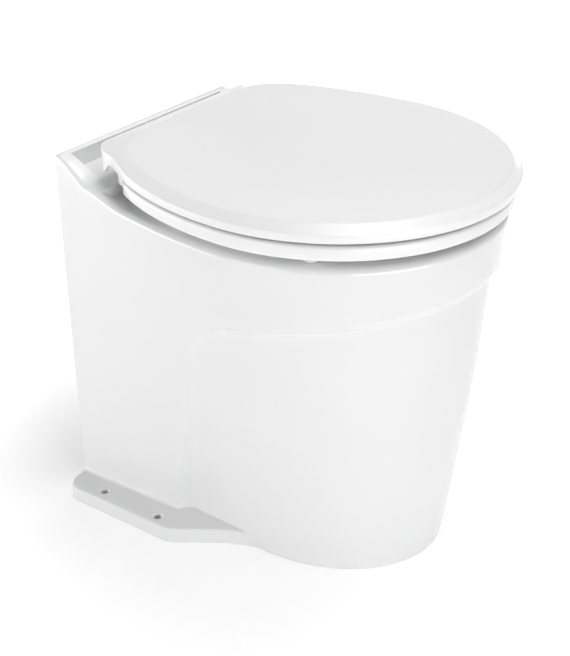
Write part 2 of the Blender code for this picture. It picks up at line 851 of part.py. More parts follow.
def service_opening():
    half = [(0, OPENING_HEIGHT)]
    for k in range(7):
        a = math.pi / 2 * k / 6
        width = OPENING_HALF_WIDTH - OPENING_CORNER_RADIUS * (1 - math.sin(a))
        height = OPENING_HEIGHT - OPENING_CORNER_RADIUS * (1 - math.cos(a))
        half.append((width, height))
    half.append((OPENING_HALF_WIDTH, -OVERRUN))
    outline = half + [(-x, z) for x, z in half[:0:-1]]
    loops = [[at(x, d, z) for x, z in outline] for d in (-OVERRUN, PAN_WALL + OVERRUN)]
    return tool("service_opening", loft(loops))


def floor_holes():
    holes = []
    top = FLANGE_THICKNESS + OVERRUN
    wide = FLOOR_HOLE_RADIUS + COUNTERSINK_GROWTH
    profile = [(0, -OVERRUN), (FLOOR_HOLE_RADIUS, -OVERRUN),
               (FLOOR_HOLE_RADIUS, FLANGE_THICKNESS - COUNTERSINK_DEPTH),
               (wide, FLANGE_THICKNESS), (wide, top), (0, top)]
    for side in (-1, 1):
        for k in range(2):
            start = at(side * FLOOR_HOLE_SPREAD, FLOOR_HOLE_DEPTH + FLOOR_HOLE_SPACING * k, 0)
            holes.append(tool(f"floor_hole_{side}_{k}", turn(profile, start, UP, 14)))
    return holes


def hinge_middle():
    """Side offset of the hinge post's middle."""
    return HINGE_ARM_START + HINGE_ARM_WIDTH + HINGE_GAP + HINGE_POST_WIDTH / 2


def stud_holes():
    holes = []
    for side in (-1, 1):
        start = at(side * hinge_middle(), HINGE_DEPTH, cavity_top() - OVERRUN)
        length = DECK_RISE + RIM_THICKNESS + 2 * OVERRUN
        holes.append(tool(f"stud_hole_{side}", rod(STUD_RADIUS + FIT, start, UP, length, 16)))
    return holes


def nozzle_hole():
    depth = bowl_rear_depth(NOZZLE_HEIGHT)
    start = at(0, depth + 2 * OVERRUN, NOZZLE_HEIGHT)
    length = BOWL_WALL + 5 * OVERRUN
    return tool("nozzle_hole", rod(NOZZLE_RADIUS + FIT, start, REARWARD, length))


def bolt_places():
    places = []
    for k in range(4):
        a = math.pi / 4 + math.pi / 2 * k
        places.append((BOLT_CIRCLE_RADIUS * math.cos(a), BOLT_CIRCLE_RADIUS * math.sin(a)))
    return places


def bolt_holes(name, depth, length):
    holes = []
    for k, (x, z) in enumerate(bolt_places()):
        start = at(x, depth, PUMP_AXIS_HEIGHT + z)
        holes.append(tool(f"{name}_{k}", rod(BOLT_RADIUS + FIT, start, REARWARD, length, 16)))
    return holes


def build_pan():
    pan = pan_blank()
    join(pan, floor_flange())
    cut(pan, pan_cavity())
    weld(pan)
    cut(pan, deck_pocket(), service_opening(), bowl_opening())
    weld(pan)
    cut(pan, *floor_holes(), *stud_holes())
    weld(pan)
    return pan


def build_bowl():
    bowl = bowl_outside()
    cut(bowl, bowl_inside(), throat_inside())
    weld(bowl)
    throat_end = THROAT_FACE_DEPTH + THROAT_FLANGE_THICKNESS
    length = THROAT_FLANGE_THICKNESS + 2 * OVERRUN
    for hole in bolt_holes("throat_bolt_hole", throat_end + OVERRUN, length):
        cut(bowl, hole)
        weld(bowl)
    cut(bowl, nozzle_hole())
    weld(bowl)
    return bowl


# Seat and lid


def cover_outline(width, tip, span, straight, ear, rear, corner):
    """Half outline of the lid or seat: front ellipse, rear ellipse, straight run, rounded corner."""
    half = []
    front_steps = 13
    for k in range(front_steps + 1):
        a = math.pi / 2 * k / front_steps
        half.append((width * math.sin(a), WIDEST_DEPTH + (tip - WIDEST_DEPTH) * math.cos(a)))
    side_steps = 4
    for k in range(1, side_steps + 1):
        depth = lerp(WIDEST_DEPTH, straight, k / side_steps)
        half.append((width * math.sqrt(1 - ((WIDEST_DEPTH - depth) / span) ** 2), depth))
    join_x, join_depth = half[-1]
    ear_depth = rear + corner
    for k in (1, 2, 3):
        half.append((lerp(join_x, ear, k / 3), lerp(join_depth, ear_depth, k / 3)))
    for k in range(1, 5):
        a = math.pi / 2 * k / 4
        half.append((ear - corner * (1 - math.cos(a)), ear_depth - corner * math.sin(a)))
    half.append((0, rear))
    return mirror(half)


def inset_loop(loop, distance):
    """Moves a plan outline inward by a distance, along its normals."""
    moved = []
    count = len(loop)
    for i in range(count):
        before = Vector(loop[i - 1])
        here = Vector(loop[i])
        after = Vector(loop[(i + 1) % count])
        one = (here - before).normalized()
        two = (after - here).normalized()
        normal = Vector((one.y + two.y, -(one.x + two.x))).normalized()
        grow = 1 / max(normal.dot(Vector((one.y, -one.x))), 0.5)
        moved.append(here + normal * distance * grow)
    return moved


def hinge_notch(side):
    """Cut in the lid's rear edge that clears the seat's arm and the hinge post."""
    ends = sorted((side * (HINGE_ARM_START - HINGE_GAP), side * hinge_lug_start()))
    low = at(ends[0], HINGE_DEPTH, HINGE_HEIGHT - 2 * barrel_radius())
    high = at(ends[1], LID_REAR_DEPTH - OVERRUN, HINGE_HEIGHT + barrel_radius() + HINGE_NOTCH_ROOM)
    return tool(f"lid_notch_{side}", block(low, high))


def lid_outline():
    return cover_outline(LID_WIDTH / 2, LENGTH, LID_REAR_SPAN, LID_STRAIGHT_DEPTH,
                         LID_EAR_HALF_WIDTH, LID_REAR_DEPTH, LID_CORNER_RADIUS)


def skirt(depth):
    """How far the lid's lower edge hangs down: full at the rear corners, with an arch in front of them."""
    return SKIRT_DROP * (1 - ease((depth - SKIRT_END_DEPTH) / SKIRT_ARCH_LENGTH))


def lid_rise(depth):
    """How far the lid curves up towards its rear edge."""
    back = max(LID_RISE_START_DEPTH - depth, 0.0) / (LID_RISE_START_DEPTH - LID_REAR_DEPTH)
    return LID_RISE * back ** 2


def barrel_radius():
    return HINGE_PIN_RADIUS + RUNNING_FIT + HINGE_BORE_WALL


def hinge_barrel(name, start_x, width, side):
    """A lug's barrel on the hinge axis."""
    start = at(side * start_x, HINGE_DEPTH, HINGE_HEIGHT)
    return tool(name, rod(barrel_radius(), start, RIGHT * side, width))


def hinge_bore(name, side):
    start = at(side * (HINGE_ARM_START - OVERRUN), HINGE_DEPTH, HINGE_HEIGHT)
    length = HINGE_ARM_WIDTH + HINGE_POST_WIDTH + HINGE_LUG_WIDTH + 2 * HINGE_GAP + 2 * OVERRUN
    return tool(name, rod(HINGE_PIN_RADIUS + RUNNING_FIT, start, RIGHT * side, length))


def hinge_lug_start():
    return HINGE_ARM_START + HINGE_ARM_WIDTH + HINGE_POST_WIDTH + 2 * HINGE_GAP


def build_lid():
    outline = lid_outline()
    panel = LID_TOP_HEIGHT
    shoulder = panel - LID_BEVEL_HEIGHT
    low = LID_LOW_HEIGHT
    soft = LID_EDGE_RADIUS

    def loop(inset, z, hang=0.0):
        points = inset_loop(outline, inset)
        return [at(p[0], p[1], z + lid_rise(p[1]) - hang * skirt(p[1])) for p in points]

    rows = [loop(LID_BEVEL_WIDTH + LID_WALL, panel - LID_WALL), loop(LID_WALL, shoulder - LID_WALL / 2),
            loop(LID_WALL, low, 1.0), loop(soft, low, 1.0), loop(0, low + soft, 1.0),
            loop(0, shoulder - soft), loop(soft, shoulder), loop(LID_BEVEL_WIDTH - soft, panel - soft / 2),
            loop(LID_BEVEL_WIDTH + soft, panel)]
    lid = add("lid", loft(rows, cap=strip_cap), seat_plastic(), at(0, HINGE_DEPTH, HINGE_HEIGHT))
    radius = barrel_radius()
    for side in (-1, 1):
        cut(lid, hinge_notch(side))
        start = hinge_lug_start()
        ends = sorted((side * start, side * (start + HINGE_LUG_WIDTH)))
        low_corner = at(ends[0], HINGE_DEPTH + radius, HINGE_HEIGHT)
        web_top = panel + lid_rise(HINGE_DEPTH + radius) - LID_WALL / 2
        high_corner = at(ends[1], LID_REAR_DEPTH + LID_BEVEL_WIDTH, web_top)
        web = tool(f"lid_lug_{side}", block(low_corner, high_corner))
        join(lid, web, hinge_barrel(f"lid_barrel_{side}", start, HINGE_LUG_WIDTH, side))
        cut(lid, hinge_bore(f"lid_bore_{side}", side))
    return lid


def seat_outline():
    return cover_outline(LID_WIDTH / 2 - SEAT_INSET, LENGTH - SEAT_INSET, LID_REAR_SPAN - SEAT_INSET,
                         SEAT_REAR_DEPTH + 2 * SEAT_CORNER_RADIUS, SEAT_EAR_HALF_WIDTH,
                         SEAT_REAR_DEPTH, SEAT_CORNER_RADIUS)


def build_seat():
    outline = seat_outline()
    low = SEAT_BOTTOM_HEIGHT
    top = low + SEAT_THICKNESS
    soft = SEAT_EDGE_RADIUS

    def hole_point(point, grow):
        a = math.atan2(point[0], point[1] - BOWL_CENTRE_DEPTH)
        x = (SEAT_HOLE_HALF_WIDTH + grow) * math.sin(a)
        d = BOWL_CENTRE_DEPTH + (SEAT_HOLE_HALF_LENGTH + grow) * math.cos(a)
        return x, d

    def outer(inset, z):
        return [at(p[0], p[1], z) for p in inset_loop(outline, inset)]

    def hole(grow, z):
        return [at(*hole_point(p, grow), z) for p in outline]

    def between(share, z):
        points = []
        for p in inset_loop(outline, soft):
            x, d = hole_point(p, SEAT_HOLE_EDGE)
            points.append(at(lerp(p[0], x, share), lerp(p[1], d, share), z))
        return points

    rows = [outer(soft, low), outer(0, low + soft), outer(0, top - soft), outer(soft, top),
            between(0.35, top + SEAT_CROWN), between(0.65, top + SEAT_CROWN), hole(SEAT_HOLE_EDGE, top),
            hole(0, top - SEAT_HOLE_EDGE), hole(0, low + soft), hole(soft, low)]
    seat = add("seat_ring", loft(rows, ring=True), seat_plastic(), at(0, HINGE_DEPTH, HINGE_HEIGHT))
    radius = barrel_radius()
    for side in (-1, 1):
        ends = sorted((side * HINGE_ARM_START, side * (HINGE_ARM_START + HINGE_ARM_WIDTH)))
        low_corner = at(ends[0], SEAT_REAR_DEPTH + 2 * soft, HINGE_HEIGHT - radius)
        high_corner = at(ends[1], HINGE_DEPTH, top - soft / 2)
        arm = tool(f"seat_arm_{side}", block(low_corner, high_corner))
        join(seat, arm, hinge_barrel(f"seat_barrel_{side}", HINGE_ARM_START, HINGE_ARM_WIDTH, side))
        cut(seat, hinge_bore(f"seat_bore_{side}", side))
    return seat


def edge_place(outline, angle, inset):
    """The plan point just inside an outline, in the direction of an angle from the front."""
    a = math.radians(angle)
    best = None
    for p in inset_loop(outline, inset):
        bearing = math.atan2(p[0], p[1] - WIDEST_DEPTH)
        if best is None or abs(bearing - a) < abs(best[0] - a):
            best = (bearing, p)
    return best[1]


def build_bumpers():
    gap = SEAT_BOTTOM_HEIGHT - RIM_HEIGHT
    lid_low = LID_TOP_HEIGHT - LID_WALL
    seat_top = SEAT_BOTTOM_HEIGHT + SEAT_THICKNESS
    count = 0
    for angle in BUMPER_ANGLES:
        for side in (-1, 1):
            count += 1
            x, d = edge_place(seat_outline(), side * angle, BUMPER_EDGE_INSET)
            height = gap - 2 * FIT
            profile = [(0, 0), (BUMPER_RADIUS - BUMPER_TAPER, 0), (BUMPER_RADIUS, height), (0, height)]
            bm = turn(profile, at(x, d, RIM_HEIGHT + FIT), UP, 16)
            add(f"seat_bumper_{count}", bm, pale_rubber(), at(x, d, SEAT_BOTTOM_HEIGHT))
    count = 0
    for side in (-1, 1):
        count += 1
        x, d = edge_place(lid_outline(), side * BUMPER_ANGLES[0], LID_BUMPER_EDGE_INSET)
        start = seat_top + SEAT_CROWN + FIT
        height = lid_low - FIT - start
        profile = [(0, 0), (LID_BUMPER_RADIUS - BUMPER_TAPER, 0), (LID_BUMPER_RADIUS, height), (0, height)]
        add(f"lid_bumper_{count}", turn(profile, at(x, d, start), UP, 16), pale_rubber(), at(x, d, lid_low))


# Hinges


def build_hinges():
    deck = RIM_HEIGHT + DECK_RISE + FIT
    radius = barrel_radius()
    for side, word in ((-1, "left"), (1, "right")):
        middle = side * hinge_middle()
        half = HINGE_POST_WIDTH / 2
        base_half = POST_BASE_LENGTH / 2
        low = at(middle - half, HINGE_DEPTH + base_half, deck)
        high = at(middle + half, HINGE_DEPTH - radius, deck + POST_BASE_THICKNESS)
        post = add(f"hinge_post_{word}", block(low, high), seat_plastic(), at(middle, HINGE_DEPTH, deck))
        web_low = at(middle - half, HINGE_DEPTH + radius, deck + POST_BASE_THICKNESS / 2)
        web_high = at(middle + half, HINGE_DEPTH - radius, HINGE_HEIGHT)
        web = tool(f"post_web_{word}", block(web_low, web_high))
        barrel = hinge_barrel(f"post_barrel_{word}", hinge_middle() - half, HINGE_POST_WIDTH, side)
        socket = rod(STUD_RADIUS + FIT, at(middle, HINGE_DEPTH, deck - OVERRUN), UP, STUD_SEAT + OVERRUN, 16)
        join(post, web, barrel)
        cut(post, hinge_bore(f"post_bore_{word}", side), tool(f"post_socket_{word}", socket))
        build_hinge_pin(side, word)
        build_hinge_fixing(middle, deck, word)


def build_hinge_pin(side, word):
    start = at(side * (HINGE_ARM_START + HINGE_GAP), HINGE_DEPTH, HINGE_HEIGHT)
    length = HINGE_ARM_WIDTH + HINGE_POST_WIDTH + HINGE_LUG_WIDTH
    edge = HINGE_GAP / 2
    profile = [(0, 0), (HINGE_PIN_RADIUS - edge, 0), (HINGE_PIN_RADIUS, edge),
               (HINGE_PIN_RADIUS, length - edge), (HINGE_PIN_RADIUS - edge, length), (0, length)]
    add(f"hinge_pin_{word}", turn(profile, start, RIGHT * side), steel(), start)


def build_hinge_fixing(middle, deck, word):
    """Stud through the deck, with a rubber washer and a wing nut below it."""
    under = cavity_top()
    washer_top = under - FIT
    washer_low = washer_top - WASHER_THICKNESS
    nut_top = washer_low - FIT
    nut_low = nut_top - WING_NUT_HEIGHT
    stud_low = nut_low - STUD_TAIL
    stud_top = deck + STUD_SEAT - FIT
    centre = at(middle, HINGE_DEPTH, 0)
    add(f"hinge_stud_{word}", rod(STUD_RADIUS, centre + UP * stud_low, UP, stud_top - stud_low, 16), steel(),
        centre + UP * stud_top)
    bore = STUD_RADIUS + FIT
    washer = collar(bore, WASHER_RADIUS, centre + UP * washer_low, UP, WASHER_THICKNESS)
    add(f"hinge_washer_{word}", washer, rubber(), centre + UP * washer_low)
    nut = add(f"hinge_wing_nut_{word}", collar(bore, WING_NUT_RADIUS, centre + UP * nut_low, UP, WING_NUT_HEIGHT),
              seat_plastic(), centre + UP * nut_low)
    for side in (-1, 1):
        near = side * (WING_NUT_RADIUS + bore) / 2
        ends = sorted((near, side * WING_SPAN))
        low = centre + Vector((ends[0], -WING_THICKNESS / 2, nut_low))
        high = centre + Vector((ends[1], WING_THICKNESS / 2, nut_top - WING_THICKNESS))
        join(nut, tool(f"wing_{word}_{side}", block(low, high)))


# Rinse nozzle and flush hose


def nozzle_faces():
    """Depths of the bowl wall's two faces round the nozzle."""
    heights = [NOZZLE_HEIGHT + NOZZLE_HEAD_RADIUS * step for step in (-1, 0, 1)]
    inner = max(bowl_rear_depth(z, NOZZLE_HEAD_RADIUS) for z in heights)
    outer = min(bowl_rear_depth(z) for z in heights) - BOWL_WALL
    return inner, outer - FIT


def nozzle_end_depth():
    outer = nozzle_faces()[1]
    return outer - NOZZLE_NUT_THICKNESS - NOZZLE_TAIL


def build_nozzle():
    inner, outer = nozzle_faces()
    front = inner + NOZZLE_STAND_OFF + NOZZLE_HEAD_THICKNESS
    end = nozzle_end_depth()
    stem = front - end
    profile = [(NOZZLE_BORE_RADIUS, 0), (NOZZLE_HEAD_RADIUS - NOZZLE_STAND_OFF, 0),
               (NOZZLE_HEAD_RADIUS, NOZZLE_STAND_OFF), (NOZZLE_HEAD_RADIUS, NOZZLE_HEAD_THICKNESS),
               (NOZZLE_RADIUS, NOZZLE_HEAD_THICKNESS + NOZZLE_STAND_OFF), (NOZZLE_RADIUS, stem),
               (BARB_RADIUS, stem), (BARB_RADIUS, stem + BARB_LENGTH), (NOZZLE_BORE_RADIUS, stem + BARB_LENGTH)]
    place = at(0, front, NOZZLE_HEIGHT)
    add("rinse_nozzle", turn(profile, place, REARWARD), grey_plastic(), place)
    nut = collar(NOZZLE_RADIUS + FIT, NOZZLE_NUT_RADIUS, at(0, outer - FIT, NOZZLE_HEIGHT), REARWARD,
                 NOZZLE_NUT_THICKNESS, BOLT_STEPS * 4)
    add("nozzle_nut", nut, grey_plastic(), at(0, outer - FIT, NOZZLE_HEIGHT))


def bracket_depth():
    """Depth of the bracket plate's front face, on the rear of the housing's flange."""
    return THROAT_FACE_DEPTH - FIT - GASKET_THICKNESS - FIT - HOUSING_FLANGE - FIT


def valve_centre():
    return at(-VALVE_OFFSET, VALVE_DEPTH, BRACKET_SHELF_HEIGHT + FIT + VALVE_HEIGHT / 2)


def hose_path():
    """The flush hose's route, from the nozzle's barb to the valve's outlet."""
    start = at(0, nozzle_end_depth() - FIT, NOZZLE_HEIGHT)
    end = valve_centre() + UP * (VALVE_HEIGHT / 2 + FIT)
    leave = start + REARWARD * BARB_LENGTH
    arrive = end + UP * BARB_LENGTH
    return [start] + bend(leave, REARWARD * HOSE_SWING, arrive, -UP * HOSE_SWING, HOSE_STEPS) + [end]


def build_flush_hose():
    path = hose_path()
    bore = BARB_RADIUS + FIT
    add("flush_hose", sweep(path, bore + HOSE_WALL, bore, 10), rubber(), path[0])
    outer = bore + HOSE_WALL + FIT
    start = path[0] + REARWARD * (BARB_LENGTH / 2)
    clip = add("hose_clip", collar(outer, outer + CLIP_WALL, start, REARWARD, CLIP_WIDTH), steel(), start)
    ear_low = start + Vector((-CLIP_WALL, 0, outer + CLIP_WALL / 2))
    ear_high = start + Vector((CLIP_WALL, CLIP_WIDTH, outer + CLIP_WALL + CLIP_EAR))
    join(clip, tool("clip_ear", block(ear_low, ear_high)))


# Macerator pump


def on_axis(depth):
    return at(0, depth, PUMP_AXIS_HEIGHT)


def housing_front():
    return THROAT_FACE_DEPTH - FIT - GASKET_THICKNESS - FIT


def housing_rear():
    return housing_front() - HOUSING_FLANGE - CHAMBER_LENGTH


def chamber_floor():
    return housing_rear() + CHAMBER_FLOOR


def port_depth():
    return housing_front() - HOUSING_FLANGE - (CHAMBER_LENGTH - CHAMBER_FLOOR) / 2 - FIT


def build_gasket():
    start = on_axis(THROAT_FACE_DEPTH - FIT)
    add("outlet_gasket", collar(THROAT_RADIUS, GASKET_RADIUS, start, REARWARD, GASKET_THICKNESS, WIDE_STEPS), rubber(), start)


def build_housing():
    start = on_axis(housing_front())
    total = HOUSING_FLANGE + CHAMBER_LENGTH
    floor = total - CHAMBER_FLOOR
    outer = CHAMBER_RADIUS + CHAMBER_WALL
    seal = SEAL_RADIUS + FIT
    profile = [(CHAMBER_RADIUS, 0), (PUMP_FLANGE_RADIUS, 0), (PUMP_FLANGE_RADIUS, HOUSING_FLANGE),
               (outer, HOUSING_FLANGE), (outer, total), (seal, total), (seal, floor), (CHAMBER_RADIUS, floor)]
    housing = add("macerator_housing", turn(profile, start, REARWARD, WIDE_STEPS), black_plastic(), start)
    port_start = at((CHAMBER_RADIUS + outer) / 2, port_depth(), PUMP_AXIS_HEIGHT)
    reach = PORT_REACH - port_start.x
    port_outer = PORT_RADIUS + PORT_WALL
    port = [(0, 0), (port_outer, 0), (port_outer, reach - COLLAR_WIDTH), (COLLAR_RADIUS, reach - COLLAR_WIDTH),
            (COLLAR_RADIUS, reach), (0, reach)]
    join(housing, tool("port_outside", turn(port, port_start, RIGHT)))
    bore_start = at(CHAMBER_RADIUS - CHAMBER_WALL, port_depth(), PUMP_AXIS_HEIGHT)
    bore = rod(PORT_RADIUS, bore_start, RIGHT, PORT_REACH - bore_start.x + OVERRUN)
    cut(housing, tool("port_inside", bore))
    cut(housing, *bolt_holes("housing_bolt_hole", housing_front() + OVERRUN, HOUSING_FLANGE + 2 * OVERRUN))
    return housing


def build_pump_bolts():
    nut_depth = THROAT_FACE_DEPTH + THROAT_FLANGE_THICKNESS + FIT
    for k, (x, z) in enumerate(bolt_places()):
        upper = z > 0
        head_front = bracket_depth() - (BRACKET_THICKNESS + FIT if upper else 0)
        front = nut_depth + BOLT_HEAD_HEIGHT + BOLT_TAIL
        shank = front - head_front
        place = at(x, front, PUMP_AXIS_HEIGHT + z)
        profile = [(0, 0), (BOLT_RADIUS, 0), (BOLT_RADIUS, shank), (BOLT_HEAD_RADIUS, shank),
                   (BOLT_HEAD_RADIUS, shank + BOLT_HEAD_HEIGHT), (0, shank + BOLT_HEAD_HEIGHT)]
        add(f"pump_bolt_{k + 1}", turn(profile, place, REARWARD, BOLT_STEPS * 2), steel(), place)
        nut_place = at(x, nut_depth + BOLT_HEAD_HEIGHT, PUMP_AXIS_HEIGHT + z)
        nut = collar(BOLT_RADIUS + FIT, BOLT_HEAD_RADIUS, nut_place, REARWARD, BOLT_HEAD_HEIGHT, BOLT_STEPS * 2)
        add(f"pump_nut_{k + 1}", nut, steel(), nut_place)


def impeller_rear():
    return chamber_floor() + RUNNING_GAP


def plate_rear():
    return impeller_rear() + IMPELLER_DISC + IMPELLER_BLADE_HEIGHT + RUNNING_GAP


def cutter_rear():
    return plate_rear() + PLATE_THICKNESS + RUNNING_GAP


def build_impeller():
    front = impeller_rear() + IMPELLER_DISC + IMPELLER_BLADE_HEIGHT
    start = on_axis(front)
    bore = SHAFT_RADIUS + RUNNING_FIT
    total = IMPELLER_DISC + IMPELLER_BLADE_HEIGHT
    profile = [(bore, 0), (HUB_RADIUS, 0), (HUB_RADIUS, IMPELLER_BLADE_HEIGHT),
               (IMPELLER_RADIUS, IMPELLER_BLADE_HEIGHT), (IMPELLER_RADIUS, total), (bore, total)]
    impeller = add("pump_impeller", turn(profile, start, REARWARD), black_plastic(), start)
    for k in range(IMPELLER_BLADES):
        blade = tool(f"impeller_blade_{k}", curved_blade(2 * math.pi * k / IMPELLER_BLADES, front))
        join(impeller, blade)


def curved_blade(phase, front):
    """One swept-back blade, from inside the hub to the disc's edge."""
    steps = 3
    loops = []
    inner = (HUB_RADIUS + SHAFT_RADIUS) / 2
    outer = IMPELLER_RADIUS - FIT
    for k in range(steps + 1):
        t = k / steps
        radius = lerp(inner, outer, t)
        a = phase + 0.9 * t
        across = IMPELLER_BLADE_THICKNESS / 2 / radius
        loop = []
        for angle in (a - across, a + across):
            x = radius * math.cos(angle)
            z = radius * math.sin(angle)
            loop.append((x, z))
        (xa, za), (xb, zb) = loop
        deep = front - IMPELLER_BLADE_HEIGHT - IMPELLER_DISC / 2
        loops.append([at(xa, front, PUMP_AXIS_HEIGHT + za), at(xb, front, PUMP_AXIS_HEIGHT + zb),
                      at(xb, deep, PUMP_AXIS_HEIGHT + zb), at(xa, deep, PUMP_AXIS_HEIGHT + za)])
    return loft(loops)


def build_chopper_plate():
    front = plate_rear() + PLATE_THICKNESS
    start = on_axis(front)
    bore = SHAFT_RADIUS + RUNNING_GAP
    plate = add("chopper_plate", collar(bore, CHAMBER_RADIUS - FIT, start, REARWARD, PLATE_THICKNESS, WIDE_STEPS), steel(),
                start)
    ring = (bore + CHAMBER_RADIUS) / 2
    for k in range(PLATE_HOLES):
        a = 2 * math.pi * k / PLATE_HOLES
        place = at(ring * math.cos(a), front + OVERRUN, PUMP_AXIS_HEIGHT + ring * math.sin(a))
        hole = rod(PLATE_HOLE_RADIUS, place, REARWARD, PLATE_THICKNESS + 2 * OVERRUN, 8)
        cut(plate, tool(f"plate_hole_{k}", hole))


def build_cutter():
    front = cutter_rear() + BLADE_THICKNESS
    start = on_axis(front)
    bore = SHAFT_RADIUS + FIT
    cutter = add("macerator_blade", collar(bore, HUB_RADIUS, start, REARWARD, BLADE_THICKNESS), steel(), start)
    reach = CHAMBER_RADIUS - CHAMBER_WALL
    for side in (-1, 1):
        near = side * (HUB_RADIUS + bore) / 2
        lean = side * BLADE_WIDTH / 4
        rear = cutter_rear()
        outline = [(near, -BLADE_WIDTH / 2), (near, BLADE_WIDTH / 2), (side * reach, BLADE_WIDTH / 4 + lean),
                   (side * reach, -BLADE_WIDTH / 4 + lean)]
        loops = [[at(x, d, PUMP_AXIS_HEIGHT + z) for x, z in outline] for d in (front, rear)]
        join(cutter, tool(f"cutter_arm_{side}", loft(loops)))
    nut_front = front + FIT + BLADE_NUT_HEIGHT
    flat_bore = bore / math.cos(math.pi / BOLT_STEPS)
    nut = collar(flat_bore, HUB_RADIUS - FIT, on_axis(nut_front), REARWARD, BLADE_NUT_HEIGHT, BOLT_STEPS)
    add("blade_nut", nut, steel(), on_axis(nut_front))


def shaft_front():
    return cutter_rear() + BLADE_THICKNESS + FIT + BLADE_NUT_HEIGHT + BOLT_TAIL


def motor_front():
    return housing_rear() - FIT - ORING_THICKNESS - FIT


def motor_rear():
    return motor_front() - MOTOR_LENGTH


def cap_rear():
    return motor_rear() - FIT - MOTOR_CAP


def shaft_rear():
    return motor_rear() - FIT - MOTOR_CAP + MOTOR_WALL + FIT


def build_shaft():
    start = on_axis(shaft_front())
    length = shaft_front() - shaft_rear()
    add("pump_shaft", rod(SHAFT_RADIUS, start, REARWARD, length), steel(), start)
    seal_start = on_axis(chamber_floor() - FIT)
    seal = collar(SHAFT_RADIUS + RUNNING_FIT, SEAL_RADIUS, seal_start, REARWARD, CHAMBER_FLOOR - 2 * FIT)
    add("shaft_seal", seal, rubber(), seal_start)


def build_motor():
    ring_start = on_axis(housing_rear() - FIT)
    outer = MOTOR_RADIUS - MOTOR_WALL
    ring = collar(outer - ORING_WIDTH, outer, ring_start, REARWARD, ORING_THICKNESS)
    add("motor_o_ring", ring, rubber(), ring_start)
    start = on_axis(motor_front())
    bearing = BEARING_RADIUS + FIT
    inner = MOTOR_RADIUS - MOTOR_WALL
    profile = [(bearing, 0), (MOTOR_RADIUS, 0), (MOTOR_RADIUS, MOTOR_LENGTH), (inner, MOTOR_LENGTH),
               (inner, MOTOR_FACE), (bearing, MOTOR_FACE)]
    add("motor_can", turn(profile, start, REARWARD, WIDE_STEPS), painted_steel(), start)
    cap_start = on_axis(motor_rear() - FIT)
    depth = MOTOR_CAP - MOTOR_WALL
    soft = MOTOR_WALL
    cap = [(bearing, 0), (MOTOR_RADIUS, 0), (MOTOR_RADIUS, MOTOR_CAP - soft), (MOTOR_RADIUS - soft, MOTOR_CAP),
           (0, MOTOR_CAP), (0, depth), (bearing, depth)]
    closed = cap[3:] + cap[:3]
    add("motor_end_cap", turn_from_axis(closed, cap_start), painted_steel(), cap_start)
    build_bearings()
    build_rotor()


def turn_from_axis(profile, start):
    """A lathe form whose profile starts and ends on the axis."""
    first = next(i for i, p in enumerate(profile) if p[0] == 0)
    rolled = profile[first + 1:] + profile[:first + 1]
    return turn(rolled, start, REARWARD, WIDE_STEPS)


def build_bearings():
    race = SHAFT_RADIUS + RUNNING_FIT
    front = on_axis(motor_front() - FIT)
    rear = on_axis(motor_rear() - 2 * FIT)
    for name, place in (("front_bearing", front), ("rear_bearing", rear)):
        add(name, collar(race, BEARING_RADIUS, place, REARWARD, BEARING_WIDTH), steel(), place)


def build_rotor():
    space_front = motor_front() - MOTOR_FACE
    space = MOTOR_LENGTH - MOTOR_FACE
    spare = (space - ROTOR_LENGTH - COMMUTATOR_LENGTH) / 2
    start = on_axis(space_front - spare)
    bore = SHAFT_RADIUS + FIT
    total = ROTOR_LENGTH + COMMUTATOR_LENGTH
    profile = [(bore, 0), (ROTOR_RADIUS, 0), (ROTOR_RADIUS, ROTOR_LENGTH), (COMMUTATOR_RADIUS, ROTOR_LENGTH),
               (COMMUTATOR_RADIUS, total), (bore, total)]
    add("motor_rotor", turn(profile, start, REARWARD), copper(), start)
    outer = MOTOR_RADIUS - MOTOR_WALL - FIT
    magnets = collar(outer - MAGNET_THICKNESS, outer, start, REARWARD, ROTOR_LENGTH, WIDE_STEPS)
    add("magnet_ring", magnets, magnet(), start)


# Discharge


def build_discharge():
    start = at(PORT_REACH + FIT, port_depth(), PUMP_AXIS_HEIGHT)
    tip = JOKER_TIP_RADIUS
    root = ELBOW_BORE_RADIUS - 2 * FIT
    slit = tip - JOKER_WALL
    profile = [(PORT_RADIUS, 0), (ELBOW_RADIUS, 0), (ELBOW_RADIUS, JOKER_FLANGE), (root, JOKER_FLANGE),
               (tip, JOKER_LENGTH), (slit, JOKER_LENGTH)]
    add("joker_valve", turn(profile, start, RIGHT), rubber(), start)
    elbow_start = start + RIGHT * (JOKER_FLANGE + FIT)
    path = [elbow_start, elbow_start + RIGHT * (ELBOW_STUB / 2)]
    corner = elbow_start + RIGHT * ELBOW_STUB
    for k in range(5):
        a = math.pi / 2 * k / 4
        path.append(corner + Vector((math.sin(a), 1 - math.cos(a), 0)) * ELBOW_BEND_RADIUS)
    last = path[-1]
    path.append(Vector((last.x, REAR_Y - ELBOW_END_DEPTH, last.z)))
    elbow = add("discharge_elbow", sweep(path, ELBOW_RADIUS, ELBOW_BORE_RADIUS, ROUND_STEPS), grey_plastic(), elbow_start)
    band_start = at(PORT_REACH - COLLAR_WIDTH, port_depth(), PUMP_AXIS_HEIGHT)
    band_length = COLLAR_WIDTH + JOKER_FLANGE + 2 * FIT + ELBOW_STUB / 2
    inner = COLLAR_RADIUS + FIT
    band = add("discharge_clamp", collar(inner, inner + BAND_WALL, band_start, RIGHT, band_length), steel(), band_start)
    lug_low = band_start + Vector((0, -BAND_LUG / 2, inner + BAND_WALL / 2))
    lug_high = band_start + Vector((band_length, BAND_LUG / 2, inner + BAND_WALL + BAND_LUG))
    join(band, tool("clamp_lug", block(lug_low, lug_high)))
    return elbow


